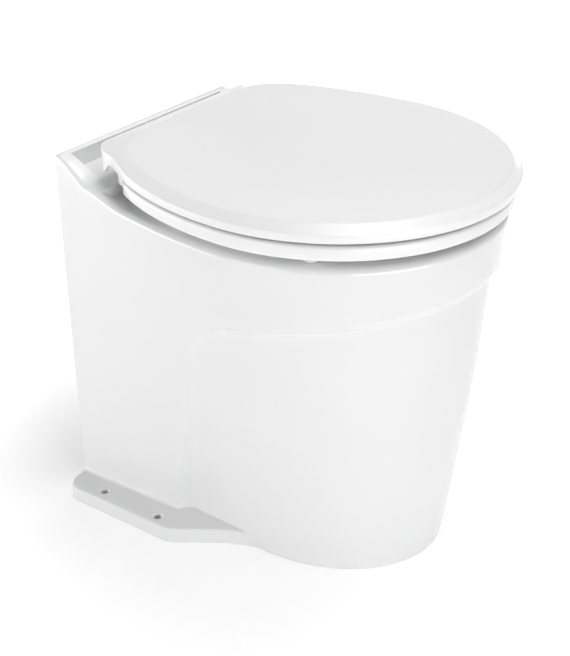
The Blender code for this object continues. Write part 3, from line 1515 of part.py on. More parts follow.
def elbow_reach():
    """Side offset of the elbow's rear leg."""
    return PORT_REACH + JOKER_FLANGE + 2 * FIT + ELBOW_STUB + ELBOW_BEND_RADIUS


# Bracket, inlet valve, terminal box and cable


def build_bracket():
    front = bracket_depth()
    rear = front - BRACKET_THICKNESS
    low = at(-BRACKET_HALF_WIDTH, front, BRACKET_FOOT_HEIGHT)
    high = at(BRACKET_HALF_WIDTH, rear, BRACKET_SHELF_HEIGHT)
    plate = add("pump_bracket", block(low, high), steel(), at(0, front, BRACKET_FOOT_HEIGHT))
    under = at(-BRACKET_HALF_WIDTH, front - BRACKET_THICKNESS / 2, BRACKET_SHELF_HEIGHT - BRACKET_THICKNESS)
    over = at(BRACKET_HALF_WIDTH, front - BRACKET_SHELF_LENGTH, BRACKET_SHELF_HEIGHT)
    join(plate, tool("bracket_shelf", block(under, over)))
    clear = rod(CHAMBER_RADIUS + CHAMBER_WALL + FIT, on_axis(front + OVERRUN), REARWARD,
                BRACKET_THICKNESS + 2 * OVERRUN, WIDE_STEPS)
    cut(plate, tool("bracket_arch", clear))
    for k, (x, z) in enumerate(bolt_places()):
        if z > 0:
            start = at(x, front + OVERRUN, PUMP_AXIS_HEIGHT + z)
            hole = rod(BOLT_RADIUS + FIT, start, REARWARD, BRACKET_THICKNESS + 2 * OVERRUN, 16)
            cut(plate, tool(f"bracket_hole_{k}", hole))


def barb(name, start, direction):
    """A hose barb that grows out of a body."""
    sunk = start - direction * HOSE_WALL
    length = BARB_LENGTH + HOSE_WALL
    return tool(name, rod(BARB_RADIUS, sunk, direction, length))


def build_valve():
    centre = valve_centre()
    half = Vector((VALVE_WIDTH, VALVE_LENGTH, VALVE_HEIGHT)) / 2
    valve = add("inlet_valve", rounded_block(centre - half, centre + half, HOSE_WALL), grey_plastic(), centre)
    up_start = centre + UP * (VALVE_HEIGHT / 2)
    back_start = centre + REARWARD * (VALVE_LENGTH / 2)
    join(valve, barb("valve_outlet", up_start, UP), barb("valve_inlet", back_start, REARWARD))
    up_bore = rod(BARB_BORE_RADIUS, centre, UP, VALVE_HEIGHT / 2 + BARB_LENGTH + OVERRUN, 16)
    back_bore = rod(BARB_BORE_RADIUS, centre, REARWARD, VALVE_LENGTH / 2 + BARB_LENGTH + OVERRUN, 16)
    cut(valve, tool("valve_outlet_bore", up_bore), tool("valve_inlet_bore", back_bore))
    start = centre - RIGHT * (VALVE_WIDTH / 2 + FIT)
    profile = [(0, 0), (COIL_RADIUS, 0), (COIL_RADIUS, COIL_LENGTH), (COIL_CAP_RADIUS, COIL_LENGTH),
               (COIL_CAP_RADIUS, COIL_LENGTH + COIL_CAP_LENGTH), (0, COIL_LENGTH + COIL_CAP_LENGTH)]
    add("valve_coil", turn(profile, start, -RIGHT), black_plastic(), start)


def box_centre():
    return at(BRACKET_HALF_WIDTH - BOX_WIDTH / 2, VALVE_DEPTH, BRACKET_SHELF_HEIGHT + FIT + BOX_HEIGHT / 2)


def build_terminal_box():
    centre = box_centre()
    half = Vector((BOX_WIDTH, BOX_LENGTH, BOX_HEIGHT)) / 2
    box = add("terminal_box", rounded_block(centre - half, centre + half, BOX_EDGE), black_plastic(), centre)
    gland_start = centre + REARWARD * (BOX_LENGTH / 2 - BOX_EDGE)
    gland = rod(GLAND_RADIUS, gland_start, REARWARD, GLAND_LENGTH + BOX_EDGE, BOLT_STEPS * 2)
    join(box, tool("box_gland", gland))
    start = centre + REARWARD * (BOX_LENGTH / 2 + GLAND_LENGTH + RUNNING_GAP)
    end = at(0, motor_rear() + OVERRUN, PUMP_AXIS_HEIGHT + MOTOR_RADIUS + FIT)
    path = bend(start, REARWARD * CABLE_SWING, end, -UP * CABLE_SWING, HOSE_STEPS)
    add("motor_cable", sweep(path, CABLE_RADIUS, 0, 8), rubber(), start)


def clear_scene():
    for old in list(bpy.data.objects):
        bpy.data.objects.remove(old, do_unlink=True)


def build():
    clear_scene()
    build_pan()
    build_bowl()
    build_seat()
    build_lid()
    build_bumpers()
    build_hinges()
    build_nozzle()
    build_flush_hose()
    build_gasket()
    build_housing()
    build_pump_bolts()
    build_impeller()
    build_chopper_plate()
    build_cutter()
    build_shaft()
    build_motor()
    build_discharge()
    build_bracket()
    build_valve()
    build_terminal_box()


build()
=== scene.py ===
# Looks of the electric marine toilet: glazed pan, gloss seat and lid, and the pump in its base.
# Metres, +Z up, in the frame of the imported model. The front points to -Y.
# Places along the object are written as a depth, measured forward from the rear face.
import json
import math

import bmesh
import bpy
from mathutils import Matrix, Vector


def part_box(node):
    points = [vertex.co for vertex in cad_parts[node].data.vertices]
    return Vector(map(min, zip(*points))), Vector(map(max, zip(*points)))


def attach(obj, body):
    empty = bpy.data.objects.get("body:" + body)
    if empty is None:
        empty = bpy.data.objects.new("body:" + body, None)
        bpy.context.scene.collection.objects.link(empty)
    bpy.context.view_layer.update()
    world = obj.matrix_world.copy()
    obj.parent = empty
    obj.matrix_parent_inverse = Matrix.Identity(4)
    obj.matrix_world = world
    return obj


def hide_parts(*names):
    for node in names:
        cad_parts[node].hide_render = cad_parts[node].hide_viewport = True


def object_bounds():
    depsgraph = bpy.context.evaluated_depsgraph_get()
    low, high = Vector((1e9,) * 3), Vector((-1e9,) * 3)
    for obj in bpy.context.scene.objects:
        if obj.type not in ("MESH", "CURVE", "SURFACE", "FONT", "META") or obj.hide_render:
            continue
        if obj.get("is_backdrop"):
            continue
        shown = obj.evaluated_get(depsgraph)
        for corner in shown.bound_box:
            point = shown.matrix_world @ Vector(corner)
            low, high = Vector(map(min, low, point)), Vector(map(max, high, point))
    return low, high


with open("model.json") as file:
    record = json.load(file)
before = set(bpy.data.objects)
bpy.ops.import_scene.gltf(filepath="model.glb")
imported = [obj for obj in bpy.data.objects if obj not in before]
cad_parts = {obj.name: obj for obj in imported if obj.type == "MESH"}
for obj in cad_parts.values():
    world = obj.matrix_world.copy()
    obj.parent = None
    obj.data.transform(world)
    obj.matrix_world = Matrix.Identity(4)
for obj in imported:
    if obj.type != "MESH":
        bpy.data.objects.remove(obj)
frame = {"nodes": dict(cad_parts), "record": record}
cad_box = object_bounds()

PAN_LOW, PAN_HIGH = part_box("pan")
LID_LOW, LID_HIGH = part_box("lid")
PIN_LOW, PIN_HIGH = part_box("hinge_pin_left")

# Overall form
REAR_Y = PAN_HIGH[1]
LENGTH = REAR_Y - LID_LOW[1]
LID_WIDTH = LID_HIGH[0] - LID_LOW[0]
RIM_HEIGHT = 0.380
FIT = 0.0003
OVERRUN = 0.005

# Pan: plan outline at the rim and at the foot
REAR_HALF_WIDTH = 0.1365
REAR_FOOT_HALF_WIDTH = 0.133
REAR_CORNER_RADIUS = 0.002
WIDEST_DEPTH = 0.244
RIM_HALF_WIDTH = PAN_HIGH[0]
RIM_TIP_DEPTH = REAR_Y - PAN_LOW[1]
HEEL_TOE_IN = 0.011
FOOT_HALF_WIDTH = 0.113
FOOT_TIP_DEPTH = 0.384
SIDE_FULLNESS_SHARE = 1.3
BLOCK_BULGE_SHARE = 0.4
PEDESTAL_BULGE_SHARE = 0.4
PEDESTAL_WAIST_SHARE = 0.06

# Pan: the recess under the band and beside the rear block
LEDGE_HEIGHT = 0.298
LEDGE_RISE = 0.029
LEDGE_SETBACK = 0.012
RECESS_FOOT_DEPTH = 0.132
RECESS_LEAN_SHARE = 0.25
RECESS_CORNER_RADIUS = 0.042
GROOVE_WIDTH = 0.016
GROOVE_STEEPNESS = 3.0

# Pan: rear upstand, side horns and deck
UPSTAND_HEIGHT = PAN_HIGH[2] - RIM_HEIGHT
UPSTAND_THICKNESS = 0.009
DECK_RISE = 0.008
HORN_START_DEPTH = 0.006
HORN_END_DEPTH = 0.047
HORN_SOFTNESS_SHARE = 0.2
DECK_END_DEPTH = 0.072
DECK_STEP = 0.003
EDGE_FALL_DEPTH = 0.110
REAR_EDGE_RADIUS = 0.003
EDGE_RADIUS = 0.007
RIM_LIP = 0.014
DECK_CLEARANCE = 0.0007
HORN_THICKNESS = 0.015

# Pan: walls, cavity and service opening
PAN_WALL = 0.010
RIM_THICKNESS = 0.014
OPENING_HALF_WIDTH = 0.116
OPENING_HEIGHT = 0.300
OPENING_CORNER_RADIUS = 0.030

# Pan: floor flange
FLANGE_HALF_WIDTH = 0.166
FLANGE_THICKNESS = 0.018
FLANGE_CORNER_RADIUS = 0.020
FLANGE_TOE_IN = 0.0025
FLANGE_TURN_DEPTH = 0.146
FLANGE_END_DEPTH = 0.250
FLANGE_TURN_SHARE = 0.75
FLANGE_EDGE_RADIUS = 0.0025
FLANGE_SINK = 0.0008
FOOT_FILLET = 0.005
FOOT_FILLET_FADE_DEPTH = 0.120
FOOT_FILLET_END_DEPTH = 0.150
FLOOR_HOLE_RADIUS = 0.00375
FLOOR_HOLE_SPREAD = 0.151
FLOOR_HOLE_DEPTH = 0.048
FLOOR_HOLE_SPACING = 0.079
COUNTERSINK_DEPTH = 0.002
COUNTERSINK_GROWTH = 0.002

# Bowl, sump and throat
BOWL_HALF_WIDTH = 0.118
BOWL_HALF_LENGTH = 0.135
BOWL_CENTRE_DEPTH = 0.262
BOWL_LIP_RADIUS = 0.006
BOWL_WALL = 0.009
BOWL_ROUND_SHARE = 2.0
BOWL_WALL_SHARE = 0.75
BOWL_DRIFT_SHARE = 1.5
SUMP_RADIUS = 0.034
SUMP_CENTRE_DEPTH = 0.208
SUMP_TOP_HEIGHT = 0.205
SUMP_BOTTOM_HEIGHT = 0.114
SUMP_FLOOR_RADIUS = 0.022
PUMP_AXIS_HEIGHT = 0.148
THROAT_RADIUS = 0.028
THROAT_FACE_DEPTH = 0.150
THROAT_FLANGE_THICKNESS = 0.010
PUMP_FLANGE_RADIUS = 0.053
BOLT_CIRCLE_RADIUS = 0.0450
BOLT_RADIUS = 0.003
NOZZLE_HEIGHT = 0.345
NOZZLE_RADIUS = 0.0100
NOZZLE_HOLE_LENGTH = 0.025

# Lid
LID_TOP_HEIGHT = 0.424
LID_BEVEL_WIDTH = 0.0095
LID_BEVEL_HEIGHT = 0.007
LID_RIM_HEIGHT = 0.0085
LID_EDGE_RADIUS = 0.0013
LID_WALL = 0.0045
LID_REAR_SPAN = 0.245
LID_STRAIGHT_DEPTH = 0.118
LID_EAR_HALF_WIDTH = 0.135
LID_CORNER_RADIUS = 0.026
LID_REAR_DEPTH = 0.0505
LID_RISE = 0.009
LID_RISE_START_DEPTH = 0.230
LID_LOWER_RISE_SHARE = 0.4
SKIRT_DROP = 0.0115
SKIRT_END_DEPTH = 0.0625
SKIRT_ARCH_LENGTH = 0.013
PANEL_REAR_SPAN = 0.228
PANEL_REAR_INSET = 0.0175
PANEL_TURN = math.radians(35)

# Seat ring
SEAT_INSET = 0.004
SEAT_BOTTOM_HEIGHT = 0.3893
SEAT_THICKNESS = 0.0152
SEAT_CROWN = 0.0022
SEAT_EDGE_RADIUS = 0.0035
SEAT_REAR_DEPTH = 0.074
SEAT_EAR_HALF_WIDTH = 0.131
SEAT_CORNER_RADIUS = 0.014
SEAT_HOLE_HALF_WIDTH = 0.108
SEAT_HOLE_HALF_LENGTH = 0.135
SEAT_HOLE_EDGE = 0.006

# Hinges
HINGE_DEPTH = REAR_Y - (PIN_LOW[1] + PIN_HIGH[1]) / 2
HINGE_HEIGHT = (PIN_LOW[2] + PIN_HIGH[2]) / 2
HINGE_PIN_RADIUS = 0.005
RUNNING_FIT = 0.0001
HINGE_BORE_WALL = 0.0035
HINGE_ARM_START = 0.044
HINGE_ARM_WIDTH = 0.015
HINGE_GAP = 0.001
HINGE_NOTCH_ROOM = 0.002
HINGE_POST_WIDTH = 0.022
HINGE_LUG_WIDTH = 0.015
STUD_RADIUS = 0.0038
BARREL_RADIUS = HINGE_PIN_RADIUS + RUNNING_FIT + HINGE_BORE_WALL
HINGE_LUG_START = HINGE_ARM_START + HINGE_ARM_WIDTH + HINGE_POST_WIDTH + 2 * HINGE_GAP

# How finely the forms are drawn
OUTLINE_STEPS = 56
ROUND_STEPS = 48
HOLE_STEPS = 24
FLOOR_HOLE_STEPS = 32
REAR_CORNER_STEPS = 4
FOOT_ROWS = 6
PEDESTAL_ROWS = 24
BAND_ROWS = 8
CAVITY_ROW_STRIDE = 3
PAN_EDGE_STEPS = 5
OPENING_STEPS = 12
FLANGE_CORNER_STEPS = 12
FLANGE_SIDE_STEPS = 28
FLANGE_EDGE_STEPS = 4
BOWL_STEPS = 96
BOWL_ROWS = 26
BOWL_ROUND_STEPS = 5
COVER_SIDE_STEPS = 20
COVER_REAR_STEPS = 8
COVER_CORNER_STEPS = 10
PANEL_CORNER_STEPS = 18
LID_EDGE_STEPS = 3
LID_BEVEL_STEPS = 4
SEAT_EDGE_STEPS = 4
SEAT_HOLE_EDGE_STEPS = 5
SEAT_CROWN_STEPS = 8
SMOOTH_ANGLE = math.radians(32)
WELD_DISTANCE = 0.00003
STEEPEST_MITRE = 2.0

REARWARD = Vector((0, 1, 0))
UP = Vector((0, 0, 1))
RIGHT = Vector((1, 0, 0))


def clamp(t):
    return min(max(t, 0.0), 1.0)


def ease(t):
    t = clamp(t)
    return t * t * (3 - 2 * t)


def lerp(a, b, t):
    return a + (b - a) * t


def spread(count):
    """Equal shares from just above 0 up to 1."""
    return [(k + 1) / count for k in range(count)]


def quarter(steps):
    """Angles of a quarter turn, both ends included."""
    return [math.pi / 2 * k / steps for k in range(steps + 1)]


def rounding(radius, steps):
    """Pairs (inset, fall) round a convex edge or corner: from its side face to its top or end face."""
    return [(radius * (1 - math.cos(a)), radius * (1 - math.sin(a))) for a in quarter(steps)]


def mirrored(half):
    """A closed plan outline from its half, which starts and ends on the middle plane."""
    return half + [(-x, d) for x, d in half[-2:0:-1]]


def at(x, depth, z):
    """A point of the object from its side offset, depth and height."""
    return Vector((x, REAR_Y - depth, z))


# Materials

RAMP_SHARES = (0.3, 0.7)


class Nodes:
    """A material under construction: short names for adding nodes and linking them."""

    def __init__(self, name):
        self.material = bpy.data.materials.new(name)
        self.material.use_nodes = True
        self.tree = self.material.node_tree
        self.shader = self.tree.nodes["Principled BSDF"]
        self.place = self.add("ShaderNodeTexCoord").outputs["Object"]

    def add(self, kind, **settings):
        node = self.tree.nodes.new(kind)
        for key, value in settings.items():
            setattr(node, key, value)
        return node

    def link(self, source, target):
        self.tree.links.new(source, target)

    def noise(self, scale, detail=3.0, stretch=(1, 1, 1)):
        mapping = self.add("ShaderNodeMapping")
        mapping.inputs["Scale"].default_value = stretch
        self.link(self.place, mapping.inputs["Vector"])
        noise = self.add("ShaderNodeTexNoise")
        noise.inputs["Scale"].default_value = scale
        noise.inputs["Detail"].default_value = detail
        self.link(mapping.outputs["Vector"], noise.inputs["Vector"])
        return noise.outputs["Fac"]

    def range(self, source, low, high):
        node = self.add("ShaderNodeMapRange")
        node.inputs["To Min"].default_value = low
        node.inputs["To Max"].default_value = high
        self.link(source, node.inputs["Value"])
        return node.outputs["Result"]

    def ramp(self, source, low, high):
        """Two colours, blended over the middle of a noise's values."""
        node = self.add("ShaderNodeValToRGB")
        for element, position, colour in zip(node.color_ramp.elements, RAMP_SHARES, (low, high)):
            element.position = position
            element.color = (*colour, 1)
        self.link(source, node.inputs["Fac"])
        return node.outputs["Color"]

    def colour(self, source):
        self.link(source, self.shader.inputs["Base Color"])

    def roughness(self, source):
        self.link(source, self.shader.inputs["Roughness"])

    def bump(self, source, height, strength):
        node = self.add("ShaderNodeBump")
        node.inputs["Distance"].default_value = height
        node.inputs["Strength"].default_value = strength
        self.link(source, node.inputs["Height"])
        self.link(node.outputs["Normal"], self.shader.inputs["Normal"])

    def set(self, **values):
        for key, value in values.items():
            self.shader.inputs[key.replace("_", " ")].default_value = value


def glazed_ceramic():
    """White glaze: almost a mirror at a grazing view, with the faint orange peel of a fired coat."""
    m = Nodes("glazed_ceramic_look")
    cloud = m.noise(7.0, 2.0)
    m.colour(m.ramp(cloud, (0.855, 0.857, 0.858), (0.875, 0.876, 0.876)))
    m.roughness(m.range(m.noise(60.0, 2.0), 0.10, 0.16))
    m.set(Specular_IOR_Level=0.5, IOR=1.5, Coat_Weight=0.15, Coat_Roughness=0.08)
    m.bump(m.noise(38.0, 1.0), 0.0001, 0.25)
    return m.material


def seat_plastic():
    """Moulded thermoset: white, a little softer in its gloss than the glaze."""
    m = Nodes("seat_plastic_look")
    m.colour(m.ramp(m.noise(5.0, 2.0), (0.915, 0.915, 0.917), (0.93, 0.93, 0.93)))
    m.roughness(m.range(m.noise(90.0, 2.0), 0.20, 0.27))
    m.set(Specular_IOR_Level=0.5, IOR=1.49)
    m.bump(m.noise(220.0, 2.0), 0.00003, 0.3)
    return m.material


def pale_rubber():
    m = Nodes("pale_rubber_look")
    m.colour(m.ramp(m.noise(120.0), (0.66, 0.66, 0.65), (0.74, 0.74, 0.73)))
    m.roughness(m.range(m.noise(300.0), 0.5, 0.65))
    m.bump(m.noise(600.0), 0.00004, 0.5)
    return m.material


def black_rubber():
    m = Nodes("rubber_look")
    m.colour(m.ramp(m.noise(80.0), (0.018, 0.018, 0.018), (0.035, 0.034, 0.033)))
    m.roughness(m.range(m.noise(250.0), 0.55, 0.75))
    m.bump(m.noise(500.0), 0.00006, 0.5)
    return m.material


def steel():
    m = Nodes("stainless_steel_look")
    grain = m.noise(90.0, 3.0, (1, 1, 14))
    m.colour(m.ramp(grain, (0.52, 0.52, 0.53), (0.68, 0.68, 0.69)))
    m.roughness(m.range(grain, 0.22, 0.38))
    m.set(Metallic=1.0)
    m.bump(grain, 0.00003, 0.4)
    return m.material


def grey_plastic():
    m = Nodes("grey_plastic_look")
    m.colour(m.ramp(m.noise(60.0), (0.30, 0.31, 0.32), (0.37, 0.38, 0.39)))
    m.roughness(m.range(m.noise(300.0), 0.4, 0.55))
    m.bump(m.noise(900.0), 0.00004, 0.6)
    return m.material


def black_plastic():
    m = Nodes("black_plastic_look")
    m.colour(m.ramp(m.noise(60.0), (0.022, 0.022, 0.024), (0.04, 0.04, 0.043)))
    m.roughness(m.range(m.noise(300.0), 0.36, 0.5))
    m.bump(m.noise(900.0), 0.00005, 0.6)
    return m.material


def motor_paint():
    m = Nodes("motor_paint_look")
    m.colour(m.ramp(m.noise(40.0), (0.045, 0.05, 0.056), (0.07, 0.076, 0.084)))
    m.roughness(m.range(m.noise(200.0), 0.3, 0.42))
    m.set(Metallic=0.2)
    m.bump(m.noise(260.0, 1.0), 0.00005, 0.5)
    return m.material


def ferrite():
    m = Nodes("ferrite_look")
    m.colour(m.ramp(m.noise(150.0), (0.09, 0.09, 0.095), (0.14, 0.14, 0.15)))
    m.roughness(m.range(m.noise(400.0), 0.6, 0.8))
    m.bump(m.noise(700.0), 0.00006, 0.6)
    return m.material


def winding_copper():
    m = Nodes("winding_copper_look")
    wire = m.noise(40.0, 2.0, (30, 1, 30))
    m.colour(m.ramp(wire, (0.36, 0.15, 0.07), (0.62, 0.30, 0.15)))
    m.roughness(m.range(wire, 0.3, 0.5))
    m.set(Metallic=1.0)
    m.bump(wire, 0.0003, 0.6)
    return m.material


# Mesh tools


def shade(mesh):
    mesh.shade_smooth()
    mesh.set_sharp_from_angle(angle=SMOOTH_ANGLE)


def add(name, bm, look):
    """A new object from a bmesh, which is either kept or used up by carve or unite."""
    bmesh.ops.recalc_face_normals(bm, faces=bm.faces)
    mesh = bpy.data.meshes.new(name)
    bm.to_mesh(mesh)
    bm.free()
    shade(mesh)
    mesh.materials.append(look)
    made = bpy.data.objects.new(name, mesh)
    bpy.context.scene.collection.objects.link(made)
    return made


def combine(target, others, operation):
    for other in others:
        modifier = target.modifiers.new(other.name, "BOOLEAN")
        modifier.operation = operation
        modifier.solver = "EXACT"
        modifier.object = other


def settle(target, *spent):
    """Applies the modifiers, welds slivers, sets the shading and deletes the objects used up."""
    graph = bpy.context.evaluated_depsgraph_get()
    mesh = bpy.data.meshes.new_from_object(target.evaluated_get(graph))
    target.modifiers.clear()
    bm = bmesh.new()
    bm.from_mesh(mesh)
    bmesh.ops.remove_doubles(bm, verts=bm.verts, dist=WELD_DISTANCE)
    bmesh.ops.dissolve_degenerate(bm, edges=bm.edges, dist=WELD_DISTANCE)
    bm.to_mesh(mesh)
    bm.free()
    target.data = mesh
    shade(mesh)
    for other in spent:
        bpy.data.objects.remove(other, do_unlink=True)


def carve(target, *cutters):
    combine(target, cutters, "DIFFERENCE")
    settle(target, *cutters)


def unite(target, *others):
    combine(target, others, "UNION")
    settle(target, *others)


def flat_cap(bm, row):
    bm.faces.new(row)


def strip_cap(bm, row):
    """Covers a mirrored outline with strips that run from side to side, so that it may curve in depth."""
    n = len(row)
    middle = n // 2
    bm.faces.new((row[0], row[1], row[-1]))
    for k in range(1, middle - 2):
        bm.faces.new((row[k], row[k + 1], row[n - k - 1], row[n - k]))
    bm.faces.new(row[middle - 2:middle + 3])


def wall_between(bm, low, high):
    """Faces from one closed row of points to the next."""
    for i in range(len(low)):
        j = (i + 1) % len(low)
        bm.faces.new((low[i], low[j], high[j], high[i]))


def loft(loops, ring=False, cap=flat_cap):
    """A closed skin over loops of equal length, capped at both ends or joined into a ring."""
    bm = bmesh.new()
    rows = [[bm.verts.new(point) for point in loop] for loop in loops]
    pairs = list(zip(rows, rows[1:]))
    if ring:
        pairs.append((rows[-1], rows[0]))
    for low, high in pairs:
        wall_between(bm, low, high)
    if not ring:
        cap(bm, rows[0])
        cap(bm, rows[-1])
    return bm


def turn(profile, start, direction, steps=ROUND_STEPS):
    """A lathe form. The profile is (radius, distance along) and starts and ends on the axis."""
    turned = UP.rotation_difference(direction).to_matrix()
    bm = bmesh.new()
    rows = []
    for radius, along in profile:
        if radius == 0:
            rows.append([bm.verts.new(start + direction * along)])
            continue
        row = []
        for i in range(steps):
            a = 2 * math.pi * i / steps
            offset = turned @ Vector((radius * math.cos(a), radius * math.sin(a), along))
            row.append(bm.verts.new(start + offset))
        rows.append(row)
    for low, high in zip(rows, rows[1:]):
        for i in range(steps):
            j = (i + 1) % steps
            corners = [low[i % len(low)], low[j % len(low)], high[j % len(high)], high[i % len(high)]]
            bm.faces.new([v for k, v in enumerate(corners) if v not in corners[:k]])
    return bm


def rod(radius, start, direction, length, steps=ROUND_STEPS):
    return turn([(0, 0), (radius, 0), (radius, length), (0, length)], start, direction, steps)


def block(low, high):
    bm = bmesh.new()
    bmesh.ops.create_cube(bm, size=1.0)
    middle = (low + high) / 2
    for v in bm.verts:
        v.co = Vector(c * s for c, s in zip(v.co, high - low)) + middle
    return bm


def side_block(side, near, far, front_depth, bottom, rear_depth, top):
    """A block on one side of the middle plane, between two distances from it."""
    left, right = sorted((side * near, side * far))
    return block(at(left, front_depth, bottom), at(right, rear_depth, top))


# Pan outline


def rim_side(depth):
    """Half width of the rim behind its widest place."""
    share = math.sin(math.pi / 2 * min(depth / WIDEST_DEPTH, 1.0))
    return lerp(REAR_HALF_WIDTH, RIM_HALF_WIDTH, share ** SIDE_FULLNESS_SHARE)


def bulged(t, bulge):
    """A share of the way up a side that swells out by a bulge on its way."""
    t = clamp(t)
    return t * (1 + bulge * (1 - t))


def flare(z):
    return bulged((z - FLANGE_THICKNESS) / (RIM_HEIGHT - FLANGE_THICKNESS), BLOCK_BULGE_SHARE)


def block_side(depth, z):
    """Half width of the rear block and the band at a depth and height."""
    foot = REAR_FOOT_HALF_WIDTH - HEEL_TOE_IN * depth / WIDEST_DEPTH
    return lerp(foot, rim_side(depth), flare(z))


def pedestal_size(z):
    """Half width and tip depth of the recessed pedestal at a height."""
    grown = bulged(z / (LEDGE_HEIGHT + LEDGE_RISE), PEDESTAL_BULGE_SHARE)
    width = lerp(FOOT_HALF_WIDTH, RIM_HALF_WIDTH - LEDGE_SETBACK, grown)
    tip = lerp(FOOT_TIP_DEPTH, RIM_TIP_DEPTH - LEDGE_SETBACK, grown)
    return width, tip


def recess_edge(z):
    return RECESS_FOOT_DEPTH + RECESS_LEAN_SHARE * min(z, LEDGE_HEIGHT)


def ledge(depth):
    ahead = max(depth - WIDEST_DEPTH, 0.0) / (RIM_TIP_DEPTH - WIDEST_DEPTH)
    return LEDGE_HEIGHT + LEDGE_RISE * ahead


def proudness(depth, z):
    """1 on the rear block and band, 0 on the pedestal, with a hollow between them."""
    into = depth - recess_edge(z)
    below = ledge(depth) - z
    inside = min(into, below)
    if inside > 0 and max(into, below) < RECESS_CORNER_RADIUS:
        gap = math.hypot(RECESS_CORNER_RADIUS - into, RECESS_CORNER_RADIUS - below)
        inside = RECESS_CORNER_RADIUS - gap
    return (1 - clamp(inside / GROOVE_WIDTH)) ** GROOVE_STEEPNESS


# Where the pan's skin has its columns: along the rear, along the block's side, over the groove and up to the
# widest place. Powers above 1 crowd the columns and rows towards the groove, the ledge and the foot.
BLOCK_CROWDING = 1.4
GROOVE_CROWDING = 1.5
GROOVE_REACH_SHARE = 1.9
PEDESTAL_CROWDING = 1.6
FOOT_CROWDING = 2
REAR_SHARES = [0.0] + spread(4)[:-1]
BLOCK_SHARES = [s ** BLOCK_CROWDING for s in spread(36)]
GROOVE_SHARES = [s ** GROOVE_CROWDING * GROOVE_REACH_SHARE for s in spread(14)]
FLANK_SHARES = spread(8)


def edge_radius(depth):
    """Rounding of the pan's top edge: crisp on the upstand, softer along the horns and the rim."""
    return lerp(REAR_EDGE_RADIUS, EDGE_RADIUS, ease(depth / HORN_END_DEPTH))


def foot_fillet(depth, z):
    """How far the hollow rounding at the pan's foot spreads over the flange."""
    ahead = (FOOT_FILLET_END_DEPTH - depth) / (FOOT_FILLET_END_DEPTH - FOOT_FILLET_FADE_DEPTH)
    up = clamp((z - FLANGE_THICKNESS) / FOOT_FILLET)
    return FOOT_FILLET * ease(ahead) * (1 - math.sqrt(1 - (1 - up) ** 2))


def half_outline(z, inset=0.0, turned=0.0):
    """Points (x, depth) from the middle of the rear to the front tip, at one height.

    They are moved inward by an inset and by a share of the top edge's rounding.
    """
    def inward(depth):
        return inset + turned * edge_radius(depth)

    def outward(depth):
        return 0.0 if inset else foot_fillet(depth, z)

    points = []
    corner = REAR_CORNER_RADIUS
    back = inward(0)
    width = block_side(0, z) - back
    for share in REAR_SHARES:
        points.append((width * share, back))
    for along, short in rounding(corner, REAR_CORNER_STEPS):
        points.append((width - short + outward(0), back + along))
    edge = recess_edge(z)
    start = back + corner
    depths = [lerp(start, edge, s) for s in BLOCK_SHARES]
    depths += [edge + GROOVE_WIDTH * s for s in GROOVE_SHARES]
    depths += [lerp(edge + GROOVE_WIDTH * GROOVE_REACH_SHARE, WIDEST_DEPTH, s) for s in FLANK_SHARES]
    pedestal, tip = pedestal_size(z)
    for depth in depths:
        behind = 1 - depth / WIDEST_DEPTH
        slim = pedestal * (1 - PEDESTAL_WAIST_SHARE * behind ** 2)
        side = lerp(slim, block_side(depth, z), proudness(depth, z))
        points.append((side - inward(depth) + outward(depth), depth))
    band_width = block_side(WIDEST_DEPTH, z)
    band_tip = lerp(FOOT_TIP_DEPTH, RIM_TIP_DEPTH, flare(z))
    for share in spread(OUTLINE_STEPS):
        a = math.pi / 2 * share
        reach = math.sin(a)
        proud = proudness(lerp(WIDEST_DEPTH, RIM_TIP_DEPTH, reach), z)
        half = lerp(pedestal, band_width, proud) - inward(WIDEST_DEPTH)
        length = lerp(tip, band_tip, proud) - inward(WIDEST_DEPTH) - WIDEST_DEPTH
        points.append((half * math.cos(a), WIDEST_DEPTH + length * reach))
    return points


def edge_height(depth):
    """Height of the outer top edge: upstand, horn curve, deck level, rim."""
    back = clamp((HORN_END_DEPTH - depth) / (HORN_END_DEPTH - HORN_START_DEPTH))
    horn = lerp(back, ease(back), HORN_SOFTNESS_SHARE)
    deck = ease((EDGE_FALL_DEPTH - depth) / (EDGE_FALL_DEPTH - HORN_END_DEPTH))
    without_horn = RIM_HEIGHT + (DECK_RISE - DECK_CLEARANCE) * deck
    return without_horn + (UPSTAND_HEIGHT - DECK_RISE + DECK_CLEARANCE) * horn


def roof_height(depth):
    """Height of the pan's top inside its outer edge."""
    step = ease((DECK_END_DEPTH + DECK_STEP - depth) / DECK_STEP)
    return lerp(RIM_HEIGHT, edge_height(min(depth, HORN_END_DEPTH)), step)


def level(z):
    """The same height at every depth."""
    return lambda depth: z


def under_ledge(share):
    """A height below the ledge, by a share of the groove's width."""
    return lambda depth: ledge(depth) - GROOVE_WIDTH * share


def part_way(low_of, high_of, share):
    """A height at a share of the way from one to another."""
    return lambda depth: lerp(low_of(depth), high_of(depth), share)


def level_rows(top_of):
    """Height of each row of the skin, as functions of the depth, from the floor up to a top."""
    foot = FLANGE_THICKNESS + FOOT_FILLET
    groove_foot = under_ledge(GROOVE_REACH_SHARE)
    rows = [level(0.0)]
    rows += [level(lerp(FLANGE_THICKNESS, foot, s ** FOOT_CROWDING)) for s in [0.0] + spread(FOOT_ROWS)]
    for share in spread(PEDESTAL_ROWS)[:-1]:
        rows.append(part_way(groove_foot, level(foot), (1 - share) ** PEDESTAL_CROWDING))
    rows += [under_ledge(share) for share in GROOVE_SHARES[::-1]]
    rows.append(ledge)
    rows += [part_way(ledge, top_of, share) for share in spread(BAND_ROWS)[:-1]]
    rows.append(top_of)
    return rows


